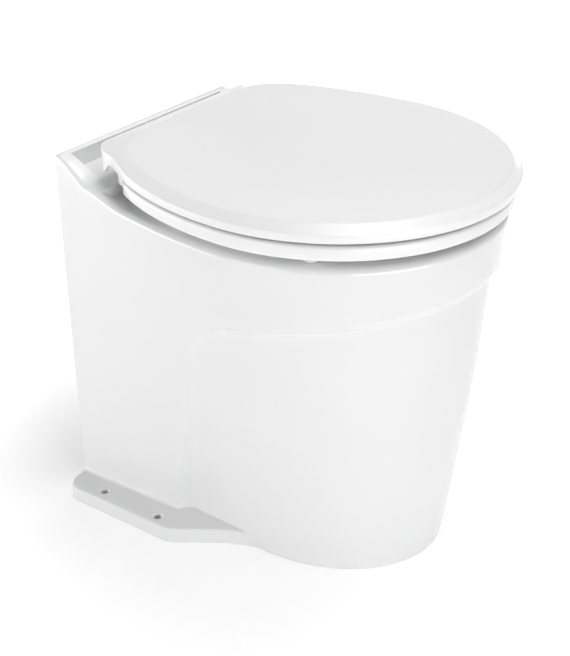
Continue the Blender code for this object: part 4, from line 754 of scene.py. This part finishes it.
def skin_row(height_of, inset=0.0, turned=0.0):
    """One closed loop of the skin. Its height may differ from column to column."""
    half = []
    for k, (_, depth) in enumerate(half_outline(LEDGE_HEIGHT, inset, turned)):
        z = height_of(depth)
        half.append((*half_outline(max(z, 0.0), inset, turned)[k], z))
    loop = [at(x, d, z) for x, d, z in half]
    return loop + [at(-x, d, z) for x, d, z in half[-2:0:-1]]


def skin(rows):
    """Closes the loops of a form, with strips from side to side over its top."""
    bm = bmesh.new()
    verts = [[bm.verts.new(p) for p in row] for row in rows]
    for low, high in zip(verts, verts[1:]):
        wall_between(bm, low, high)
    bm.faces.new(verts[0])
    row = verts[-1]
    n = len(row)
    rear = len(REAR_SHARES) + REAR_CORNER_STEPS
    middle = n // 2
    bm.faces.new([row[-k] for k in range(rear, 0, -1)] + row[:rear + 1])
    for k in range(rear, middle - 1):
        bm.faces.new((row[k], row[k + 1], row[n - k - 1], row[n - k]))
    bm.faces.new((row[middle - 1], row[middle], row[middle + 1]))
    bmesh.ops.triangulate(bm, faces=bm.faces)
    return bm


def pan_blank(look):
    def below_edge(share):
        return lambda depth: edge_height(depth) - edge_radius(depth) * share

    rows = [skin_row(height) for height in level_rows(below_edge(1.0))]
    rows += [skin_row(below_edge(fall), turned=turned) for turned, fall in rounding(1.0, PAN_EDGE_STEPS)[1:]]
    rows.append(skin_row(roof_height, RIM_LIP))
    return add("pan_shell", skin(rows), look)


def floor_flange(look):
    """The flange with its S-shaped sides, which run into the pedestal."""
    def half_loop(inset):
        width = FLANGE_HALF_WIDTH - inset
        corner = rounding(FLANGE_CORNER_RADIUS - inset, FLANGE_CORNER_STEPS)
        half = [(width - short, inset + along) for along, short in corner]
        end = FOOT_HALF_WIDTH - FLANGE_SINK
        for share in [0.0] + spread(FLANGE_SIDE_STEPS):
            side = lerp(FLANGE_HALF_WIDTH - FLANGE_TOE_IN, end, ease(share ** FLANGE_TURN_SHARE))
            half.append((side - inset, lerp(FLANGE_TURN_DEPTH, FLANGE_END_DEPTH, share)))
        return half

    loops = []
    for inset, fall in [(0, FLANGE_THICKNESS)] + rounding(FLANGE_EDGE_RADIUS, FLANGE_EDGE_STEPS):
        half = half_loop(inset)
        z = FLANGE_THICKNESS - fall
        loops.append([at(x, d, z) for x, d in half] + [at(-x, d, z) for x, d in half[::-1]])
    return add("floor_flange", loft(loops), look)


def pan_cavity(look):
    top = level(RIM_HEIGHT - RIM_THICKNESS)
    above_foot = level_rows(top)[FOOT_ROWS + 1::CAVITY_ROW_STRIDE]
    rows = [skin_row(height, PAN_WALL) for height in [level(-OVERRUN), *above_foot, top]]
    return add("pan_cavity", skin(rows), look)


# Bowl


def bowl_section(t):
    """Half width, half length and centre depth of the bowl, from the rim (0) to the sump (1)."""
    share = (1 - t ** BOWL_ROUND_SHARE) ** BOWL_WALL_SHARE
    width = lerp(SUMP_RADIUS, BOWL_HALF_WIDTH, share)
    length = lerp(SUMP_RADIUS, BOWL_HALF_LENGTH, share)
    centre = lerp(BOWL_CENTRE_DEPTH, SUMP_CENTRE_DEPTH, t ** BOWL_DRIFT_SHARE)
    return width, length, centre


def bowl_loop(width, length, centre, z):
    angles = [2 * math.pi * k / BOWL_STEPS for k in range(BOWL_STEPS)]
    return [at(width * math.sin(a), centre + length * math.cos(a), z) for a in angles]


def bowl_form(name, wall, top, look):
    """The bowl and its sump, grown by a wall thickness."""
    width, length, centre = bowl_section(0)
    lip = BOWL_LIP_RADIUS if wall == 0 else wall
    loops = [bowl_loop(width + lip, length + lip, centre, top)]
    if wall == 0:
        for fall, out in rounding(lip, BOWL_ROUND_STEPS):
            loops.append(bowl_loop(width + out, length + out, centre, RIM_HEIGHT - fall))
    for share in spread(BOWL_ROWS):
        t = math.sin(math.pi / 2 * share)
        z = lerp(RIM_HEIGHT - lip, SUMP_TOP_HEIGHT, t)
        width, length, centre = bowl_section(t)
        loops.append(bowl_loop(width + wall, length + wall, centre, z))
    low = SUMP_BOTTOM_HEIGHT - wall
    for inset, rise in rounding(SUMP_RADIUS - SUMP_FLOOR_RADIUS, BOWL_ROUND_STEPS):
        radius = SUMP_RADIUS + wall - inset
        loops.append(bowl_loop(radius, radius, SUMP_CENTRE_DEPTH, low + rise))
    return add(name, loft(loops), look)


def bowl_outside(look):
    bowl = bowl_form("bowl_outside", BOWL_WALL, RIM_HEIGHT - RIM_THICKNESS / 2, look)
    start = at(0, SUMP_CENTRE_DEPTH, PUMP_AXIS_HEIGHT)
    length = SUMP_CENTRE_DEPTH - THROAT_FACE_DEPTH - THROAT_FLANGE_THICKNESS / 2
    throat = add("throat_outside", rod(THROAT_RADIUS + BOWL_WALL, start, REARWARD, length), look)
    face = at(0, THROAT_FACE_DEPTH + THROAT_FLANGE_THICKNESS, PUMP_AXIS_HEIGHT)
    flange = add("throat_flange", rod(PUMP_FLANGE_RADIUS, face, REARWARD, THROAT_FLANGE_THICKNESS), look)
    unite(throat, flange)
    unite(bowl, throat)
    return bowl


# Cuts of the pan


def service_opening(look):
    corner = rounding(OPENING_CORNER_RADIUS, OPENING_STEPS)
    half = [(0, OPENING_HEIGHT)]
    half += [(OPENING_HALF_WIDTH - short, OPENING_HEIGHT - down) for down, short in corner]
    half.append((OPENING_HALF_WIDTH, -OVERRUN))
    outline = half + [(-x, z) for x, z in half[:0:-1]]
    loops = [[at(x, d, z) for x, z in outline] for d in (-OVERRUN, PAN_WALL + OVERRUN)]
    return add("service_opening", loft(loops), look)


def throat_cutters(look):
    """The passage from sump to pump, and the pump's four bolt holes round it."""
    start = at(0, SUMP_CENTRE_DEPTH, PUMP_AXIS_HEIGHT)
    throat = rod(THROAT_RADIUS, start, REARWARD, SUMP_CENTRE_DEPTH - THROAT_FACE_DEPTH + OVERRUN)
    yield add("throat_inside", throat, look)
    end = THROAT_FACE_DEPTH + THROAT_FLANGE_THICKNESS + OVERRUN
    for k in range(4):
        a = math.pi / 4 + math.pi / 2 * k
        x, z = BOLT_CIRCLE_RADIUS * math.cos(a), BOLT_CIRCLE_RADIUS * math.sin(a)
        hole = rod(BOLT_RADIUS + FIT, at(x, end, PUMP_AXIS_HEIGHT + z), REARWARD,
                   THROAT_FLANGE_THICKNESS + 2 * OVERRUN, HOLE_STEPS)
        yield add(f"throat_bolt_hole_{k}", hole, look)


def mounting_cutters(side, look):
    """The two screw holes of the floor flange and the hinge stud's hole on one side."""
    wide = FLOOR_HOLE_RADIUS + COUNTERSINK_GROWTH
    profile = [(0, -OVERRUN), (FLOOR_HOLE_RADIUS, -OVERRUN),
               (FLOOR_HOLE_RADIUS, FLANGE_THICKNESS - COUNTERSINK_DEPTH),
               (wide, FLANGE_THICKNESS), (wide, FLANGE_THICKNESS + OVERRUN), (0, FLANGE_THICKNESS + OVERRUN)]
    for k in range(2):
        start = at(side * FLOOR_HOLE_SPREAD, FLOOR_HOLE_DEPTH + FLOOR_HOLE_SPACING * k, 0)
        yield add(f"floor_hole_{side}_{k}", turn(profile, start, UP, FLOOR_HOLE_STEPS), look)
    middle = HINGE_ARM_START + HINGE_ARM_WIDTH + HINGE_GAP + HINGE_POST_WIDTH / 2
    start = at(side * middle, HINGE_DEPTH, RIM_HEIGHT - RIM_THICKNESS - OVERRUN)
    hole = rod(STUD_RADIUS + FIT, start, UP, DECK_RISE + RIM_THICKNESS + 2 * OVERRUN, HOLE_STEPS)
    yield add(f"stud_hole_{side}", hole, look)


def pan_cutters(look):
    low = at(-(REAR_HALF_WIDTH - HORN_THICKNESS), DECK_END_DEPTH, RIM_HEIGHT + DECK_RISE - DECK_CLEARANCE)
    high = at(REAR_HALF_WIDTH - HORN_THICKNESS, UPSTAND_THICKNESS, RIM_HEIGHT + UPSTAND_HEIGHT + OVERRUN)
    yield add("deck_pocket", block(low, high), look)
    yield service_opening(look)
    yield bowl_form("bowl_inside", 0.0, RIM_HEIGHT + OVERRUN, look)
    yield from throat_cutters(look)
    wall_depth = BOWL_CENTRE_DEPTH - BOWL_HALF_LENGTH
    start = at(0, wall_depth + 2 * OVERRUN, NOZZLE_HEIGHT)
    yield add("nozzle_hole", rod(NOZZLE_RADIUS + FIT, start, REARWARD, NOZZLE_HOLE_LENGTH), look)
    for side in (-1, 1):
        yield from mounting_cutters(side, look)


def build_pan(look):
    pan = pan_blank(look)
    unite(pan, floor_flange(look))
    cavity = pan_cavity(look)
    carve(cavity, bowl_outside(look))
    carve(pan, cavity)
    for cutter in pan_cutters(look):
        carve(pan, cutter)
    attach(pan, "toilet_pan")
    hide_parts("pan", "bowl")


# Seat and lid


def front_curve(width, tip):
    """The quarter ellipse of a cover, from its tip to its widest place."""
    reach = tip - WIDEST_DEPTH
    return [(width * math.sin(a), WIDEST_DEPTH + reach * math.cos(a)) for a in quarter(OUTLINE_STEPS)]


def cover_outline(width, tip, span, straight, ear, rear, corner):
    """Outline of the lid or seat: front ellipse, rear ellipse, straight run, rounded corner."""
    half = front_curve(width, tip)
    for share in spread(COVER_SIDE_STEPS):
        depth = lerp(WIDEST_DEPTH, straight, share)
        half.append((width * math.sqrt(1 - ((WIDEST_DEPTH - depth) / span) ** 2), depth))
    join_x, join_depth = half[-1]
    for share in spread(COVER_REAR_STEPS):
        half.append((lerp(join_x, ear, share), lerp(join_depth, rear + corner, share)))
    half += [(ear - inset, rear + fall) for inset, fall in rounding(corner, COVER_CORNER_STEPS)[1:]]
    half.append((0, rear))
    return mirrored(half)


def inset_loop(loop, distance):
    """Moves a plan outline inward by a distance, along its normals. Sharp corners are cut short."""
    moved = []
    count = len(loop)
    for i in range(count):
        before = Vector(loop[i - 1])
        here = Vector(loop[i])
        after = Vector(loop[(i + 1) % count])
        one = (here - before).normalized()
        two = (after - here).normalized()
        normal = Vector((one.y + two.y, -(one.x + two.x))).normalized()
        mitre = 1 / max(normal.dot(Vector((one.y, -one.x))), 1 / STEEPEST_MITRE)
        moved.append(here + normal * distance * mitre)
    return moved


def lid_outline():
    return cover_outline(LID_WIDTH / 2, LENGTH, LID_REAR_SPAN, LID_STRAIGHT_DEPTH,
                         LID_EAR_HALF_WIDTH, LID_REAR_DEPTH, LID_CORNER_RADIUS)


def panel_outline():
    """Edge of the lid's flat panel, inside the bevel. Its rear corners are rounder than the lid's own."""
    width, tip = LID_WIDTH / 2 - LID_BEVEL_WIDTH, LENGTH - LID_BEVEL_WIDTH
    rear = LID_REAR_DEPTH + PANEL_REAR_INSET
    half = front_curve(width, tip)
    for share in spread(COVER_SIDE_STEPS):
        a = PANEL_TURN * share
        half.append((width * math.cos(a), WIDEST_DEPTH - PANEL_REAR_SPAN * math.sin(a)))
    side_x, side_depth = half[-1]
    along = Vector((-width * math.sin(PANEL_TURN), -PANEL_REAR_SPAN * math.cos(PANEL_TURN))).normalized()
    corner_x = side_x + along.x / along.y * (rear - side_depth)
    end = corner_x - (side_depth - rear)
    for share in spread(PANEL_CORNER_STEPS):
        x = lerp(lerp(side_x, corner_x, share), lerp(corner_x, end, share), share)
        d = lerp(lerp(side_depth, rear, share), rear, share)
        half.append((x, d))
    half.append((0, rear))
    return mirrored(half)


def skirt(depth):
    """How far the lid's lower edge hangs down: full at the rear corners, with an arch in front of them."""
    return SKIRT_DROP * (1 - ease((depth - SKIRT_END_DEPTH) / SKIRT_ARCH_LENGTH))


def lid_rise(depth):
    """How far the lid curves up towards its rear edge."""
    back = max(LID_RISE_START_DEPTH - depth, 0.0) / (LID_RISE_START_DEPTH - LID_REAR_DEPTH)
    return LID_RISE * back ** 2


def hinge_barrel(name, start_x, width, side, look):
    start = at(side * start_x, HINGE_DEPTH, HINGE_HEIGHT)
    return add(name, rod(BARREL_RADIUS, start, RIGHT * side, width), look)


def hinge_bore(name, side, look):
    start = at(side * (HINGE_ARM_START - OVERRUN), HINGE_DEPTH, HINGE_HEIGHT)
    length = HINGE_ARM_WIDTH + HINGE_POST_WIDTH + HINGE_LUG_WIDTH + 2 * HINGE_GAP + 2 * OVERRUN
    return add(name, rod(HINGE_PIN_RADIUS + RUNNING_FIT, start, RIGHT * side, length), look)


def lid_rows():
    """Loops of the lid: down inside, round the lower edge, up the side and over the bevel to the panel."""
    outline = lid_outline()
    inner = panel_outline()
    shoulder = LID_TOP_HEIGHT - LID_BEVEL_HEIGHT
    low = shoulder - LID_RIM_HEIGHT
    soft = LID_EDGE_RADIUS

    def raised(points, z, hang=0.0):
        """Bent up towards the rear. Loops with a hang of 1 also follow the skirt."""
        share = lerp(1.0, LID_LOWER_RISE_SHARE, hang)
        return [at(x, d, z + share * lid_rise(d) - hang * skirt(d)) for x, d in points]

    def loop(inset, z, hang=0.0):
        return raised(inset_loop(outline, inset), z, hang)

    def bevel(share, z):
        return raised([Vector(a).lerp(Vector(b), share) for a, b in zip(inset_loop(outline, soft), inner)], z)

    rows = [raised(inset_loop(inner, LID_WALL), LID_TOP_HEIGHT - LID_WALL)]
    rows += [loop(LID_WALL, shoulder - LID_WALL / 2), loop(LID_WALL, low + soft, 1.0)]
    rows.append(loop(LID_WALL - soft / 2, low, 1.0))
    edge = rounding(soft, LID_EDGE_STEPS)
    rows += [loop(inset, low + fall, 1.0) for inset, fall in edge[::-1]]
    rows += [loop(inset, shoulder - fall) for inset, fall in edge]
    for share in spread(LID_BEVEL_STEPS)[:-1]:
        rows.append(bevel(share, lerp(shoulder, LID_TOP_HEIGHT - soft / 2, share)))
    for share in [0.0] + spread(LID_BEVEL_STEPS):
        rows.append(raised(inset_loop(inner, 2 * soft * share), LID_TOP_HEIGHT - soft * (1 - share) ** 2 / 2))
    return rows


def build_lid(look):
    lid = add("lid_shell", loft(lid_rows(), cap=strip_cap), look)
    notch_bottom = HINGE_HEIGHT - 2 * BARREL_RADIUS
    notch_top = HINGE_HEIGHT + BARREL_RADIUS + HINGE_NOTCH_ROOM
    web_depth = HINGE_DEPTH + BARREL_RADIUS
    web_top = LID_TOP_HEIGHT + lid_rise(web_depth) - LID_WALL / 2
    for side in (-1, 1):
        notch = side_block(side, HINGE_ARM_START - HINGE_GAP, HINGE_LUG_START, HINGE_DEPTH, notch_bottom,
                           LID_REAR_DEPTH - OVERRUN, notch_top)
        carve(lid, add("lid_notch", notch, look))
        web = side_block(side, HINGE_LUG_START, HINGE_LUG_START + HINGE_LUG_WIDTH, web_depth, HINGE_HEIGHT,
                         LID_REAR_DEPTH + LID_BEVEL_WIDTH, web_top)
        unite(lid, add("lid_lug", web, look))
        unite(lid, hinge_barrel("lid_barrel", HINGE_LUG_START, HINGE_LUG_WIDTH, side, look))
        carve(lid, hinge_bore("lid_bore", side, look))
    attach(lid, "lid")
    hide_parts("lid")


def seat_outline():
    return cover_outline(LID_WIDTH / 2 - SEAT_INSET, LENGTH - SEAT_INSET, LID_REAR_SPAN - SEAT_INSET,
                         SEAT_REAR_DEPTH + 2 * SEAT_CORNER_RADIUS, SEAT_EAR_HALF_WIDTH,
                         SEAT_REAR_DEPTH, SEAT_CORNER_RADIUS)


def seat_rows():
    """Loops of the ring, from its lower outer edge over the crown to its lower inner edge."""
    outline = seat_outline()
    low = SEAT_BOTTOM_HEIGHT
    top = low + SEAT_THICKNESS
    soft = SEAT_EDGE_RADIUS

    def hole_point(point, grow):
        """The point of the seat's hole in the same direction from its centre."""
        a = math.atan2(point[0], point[1] - BOWL_CENTRE_DEPTH)
        x = (SEAT_HOLE_HALF_WIDTH + grow) * math.sin(a)
        return x, BOWL_CENTRE_DEPTH + (SEAT_HOLE_HALF_LENGTH + grow) * math.cos(a)

    def outer(inset, z):
        return [at(x, d, z) for x, d in inset_loop(outline, inset)]

    def hole(grow, z):
        return [at(*hole_point(p, grow), z) for p in outline]

    def between(share, z):
        points = []
        for p in inset_loop(outline, soft):
            x, d = hole_point(p, SEAT_HOLE_EDGE)
            points.append(at(lerp(p[0], x, share), lerp(p[1], d, share), z))
        return points

    edge = rounding(soft, SEAT_EDGE_STEPS)
    hole_edge = rounding(SEAT_HOLE_EDGE, SEAT_HOLE_EDGE_STEPS)
    rows = [outer(inset, low + fall) for inset, fall in edge[::-1]]
    rows += [outer(inset, top - fall) for inset, fall in edge]
    for share in spread(SEAT_CROWN_STEPS)[:-1]:
        rows.append(between(share, top + SEAT_CROWN * math.sin(math.pi * share)))
    rows += [hole(inset, top - fall) for inset, fall in hole_edge[::-1]]
    rows += [hole(inset, low + fall) for inset, fall in edge]
    return rows


def build_seat(look):
    seat = add("seat_shell", loft(seat_rows(), ring=True), look)
    arm_top = SEAT_BOTTOM_HEIGHT + SEAT_THICKNESS - SEAT_EDGE_RADIUS / 2
    for side in (-1, 1):
        arm = side_block(side, HINGE_ARM_START, HINGE_ARM_START + HINGE_ARM_WIDTH,
                         SEAT_REAR_DEPTH + 2 * SEAT_EDGE_RADIUS, HINGE_HEIGHT - BARREL_RADIUS,
                         HINGE_DEPTH, arm_top)
        unite(seat, add("seat_arm", arm, look))
        unite(seat, hinge_barrel("seat_barrel", HINGE_ARM_START, HINGE_ARM_WIDTH, side, look))
        carve(seat, hinge_bore("seat_bore", side, look))
    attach(seat, "seat")
    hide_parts("seat_ring")


# Carried-over nodes

FINISHES = {
    "seat_plastic": seat_plastic,
    "glazed_ceramic": glazed_ceramic,
    "pale_rubber": pale_rubber,
    "rubber": black_rubber,
    "stainless_steel": steel,
    "grey_plastic": grey_plastic,
    "black_plastic": black_plastic,
    "motor_paint": motor_paint,
    "ferrite": ferrite,
    "winding_copper": winding_copper,
}


def dress_nodes(looks):
    slots = {part["node"]: part["material_slot"] for part in frame["record"]["subparts"]}
    for name, node in frame["nodes"].items():
        look = looks[slots[name]]
        for slot in node.material_slots:
            slot.material = look


# Floor, light and camera
# The floor is lit as it is, but what is seen of it is lifted to the white of the background with distance:
# FLOOR_LIFT gives how much near the object and far off, LIFT_REACH where that starts and ends.

FLOOR_HALF_SIZE = 6.0
CAMERA_AZIMUTH = 54.05
CAMERA_ELEVATION = 28.76
CAMERA_PLACE = Vector((-1.002, -0.6995, 0.886))
SENSOR = 36.0
FOCAL_LENGTH = 71.34
CLIP_START = 0.01
FLOOR_LIFT = (0.30, 1.0)
LIFT_REACH = (0.35, 1.30)
LIT_PLACE = Vector((0, 0, 0.22))
SOFT_BOX_DISTANCE = 2.2
SOFT_BOX_SIZE = (1.2, 1.2)
SOFT_BOXES = (  # name, azimuth from +X, elevation, watts
    ("left_box", 170, 15, 13.0),
    ("back_box", 35, 48, 5.0),
    ("top_right_box", 350, 74, 16.5),
    ("top_front_box", 260, 74, 16.0),
)
STRIP_DISTANCE = 1.6
STRIP_SIZE = (1.4, 0.4)
FLOOR_STRIPS = (  # name, azimuth from +X, watts
    ("rear_left_strip", 125, 8.0),
    ("front_right_strip", 249, 12.0),
    ("right_strip", 18, 5.0),
    ("rear_strip", 78, 4.0),
)


def seen_share(tree):
    """1 for rays that show a surface, directly, in a gloss or through glass, and 0 for those that light."""
    path = tree.nodes.new("ShaderNodeLightPath")
    seen = path.outputs["Is Camera Ray"]
    for kind in ("Is Glossy Ray", "Is Transmission Ray"):
        either = tree.nodes.new("ShaderNodeMath")
        either.operation = "MAXIMUM"
        tree.links.new(seen, either.inputs[0])
        tree.links.new(path.outputs[kind], either.inputs[1])
        seen = either.outputs[0]
    return seen


def build_floor():
    bm = bmesh.new()
    bmesh.ops.create_grid(bm, x_segments=2, y_segments=2, size=FLOOR_HALF_SIZE)
    m = Nodes("floor_look")
    m.colour(m.ramp(m.noise(1.5, 2.0), (0.96, 0.96, 0.96), (0.97, 0.97, 0.97)))
    m.set(Roughness=1.0, Specular_IOR_Level=0.0, Emission_Color=(1, 1, 1, 1))
    away = m.add("ShaderNodeVectorMath", operation="LENGTH")
    m.link(m.place, away.inputs[0])
    lift = m.range(away.outputs["Value"], *FLOOR_LIFT)
    lift.node.inputs["From Min"].default_value, lift.node.inputs["From Max"].default_value = LIFT_REACH
    shown = m.add("ShaderNodeMath", operation="MULTIPLY")
    m.link(lift, shown.inputs[0])
    m.link(seen_share(m.tree), shown.inputs[1])
    m.link(shown.outputs[0], m.shader.inputs["Emission Strength"])
    floor = add("floor", bm, m.material)
    floor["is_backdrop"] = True


def area_light(name, place, size, power):
    """A soft lamp that faces the object's middle."""
    data = bpy.data.lights.new(name, "AREA")
    data.shape = "RECTANGLE"
    data.size, data.size_y = size
    data.energy = power
    lamp = bpy.data.objects.new(name, data)
    lamp.location = place
    lamp.rotation_euler = (LIT_PLACE - place).to_track_quat("-Z", "Y").to_euler()
    lamp.visible_camera = False
    bpy.context.scene.collection.objects.link(lamp)


def build_lights():
    world = bpy.data.worlds.new("studio")
    bpy.context.scene.world = world
    world.use_nodes = True
    background = world.node_tree.nodes["Background"]
    background.inputs["Color"].default_value = (1, 1, 1, 1)
    world.node_tree.links.new(seen_share(world.node_tree), background.inputs["Strength"])
    for name, azimuth, elevation, power in SOFT_BOXES:
        a, e = math.radians(azimuth), math.radians(elevation)
        towards = Vector((math.cos(a) * math.cos(e), math.sin(a) * math.cos(e), math.sin(e)))
        area_light(name, LIT_PLACE + towards * SOFT_BOX_DISTANCE, SOFT_BOX_SIZE, power)
    for name, azimuth, power in FLOOR_STRIPS:
        a = math.radians(azimuth)
        place = LIT_PLACE + Vector((math.cos(a), math.sin(a), 0)) * STRIP_DISTANCE
        area_light(name, place, STRIP_SIZE, power)


def build_camera():
    data = bpy.data.cameras.new("camera")
    data.sensor_fit = "VERTICAL"
    data.sensor_height = SENSOR
    data.lens = FOCAL_LENGTH
    data.clip_start = CLIP_START
    camera = bpy.data.objects.new("camera", data)
    camera.location = CAMERA_PLACE
    camera.rotation_euler = (math.radians(90 - CAMERA_ELEVATION), 0, -math.radians(CAMERA_AZIMUTH))
    bpy.context.scene.collection.objects.link(camera)
    bpy.context.scene.camera = camera


def build():
    looks = {name: make() for name, make in FINISHES.items()}
    dress_nodes(looks)
    build_pan(looks["glazed_ceramic"])
    build_lid(looks["seat_plastic"])
    build_seat(looks["seat_plastic"])
    build_floor()
    build_lights()
    build_camera()
    bpy.context.scene.view_settings.view_transform = "Standard"


build()

[[list(map(float, corner)) for corner in box] for box in (cad_box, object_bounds())]
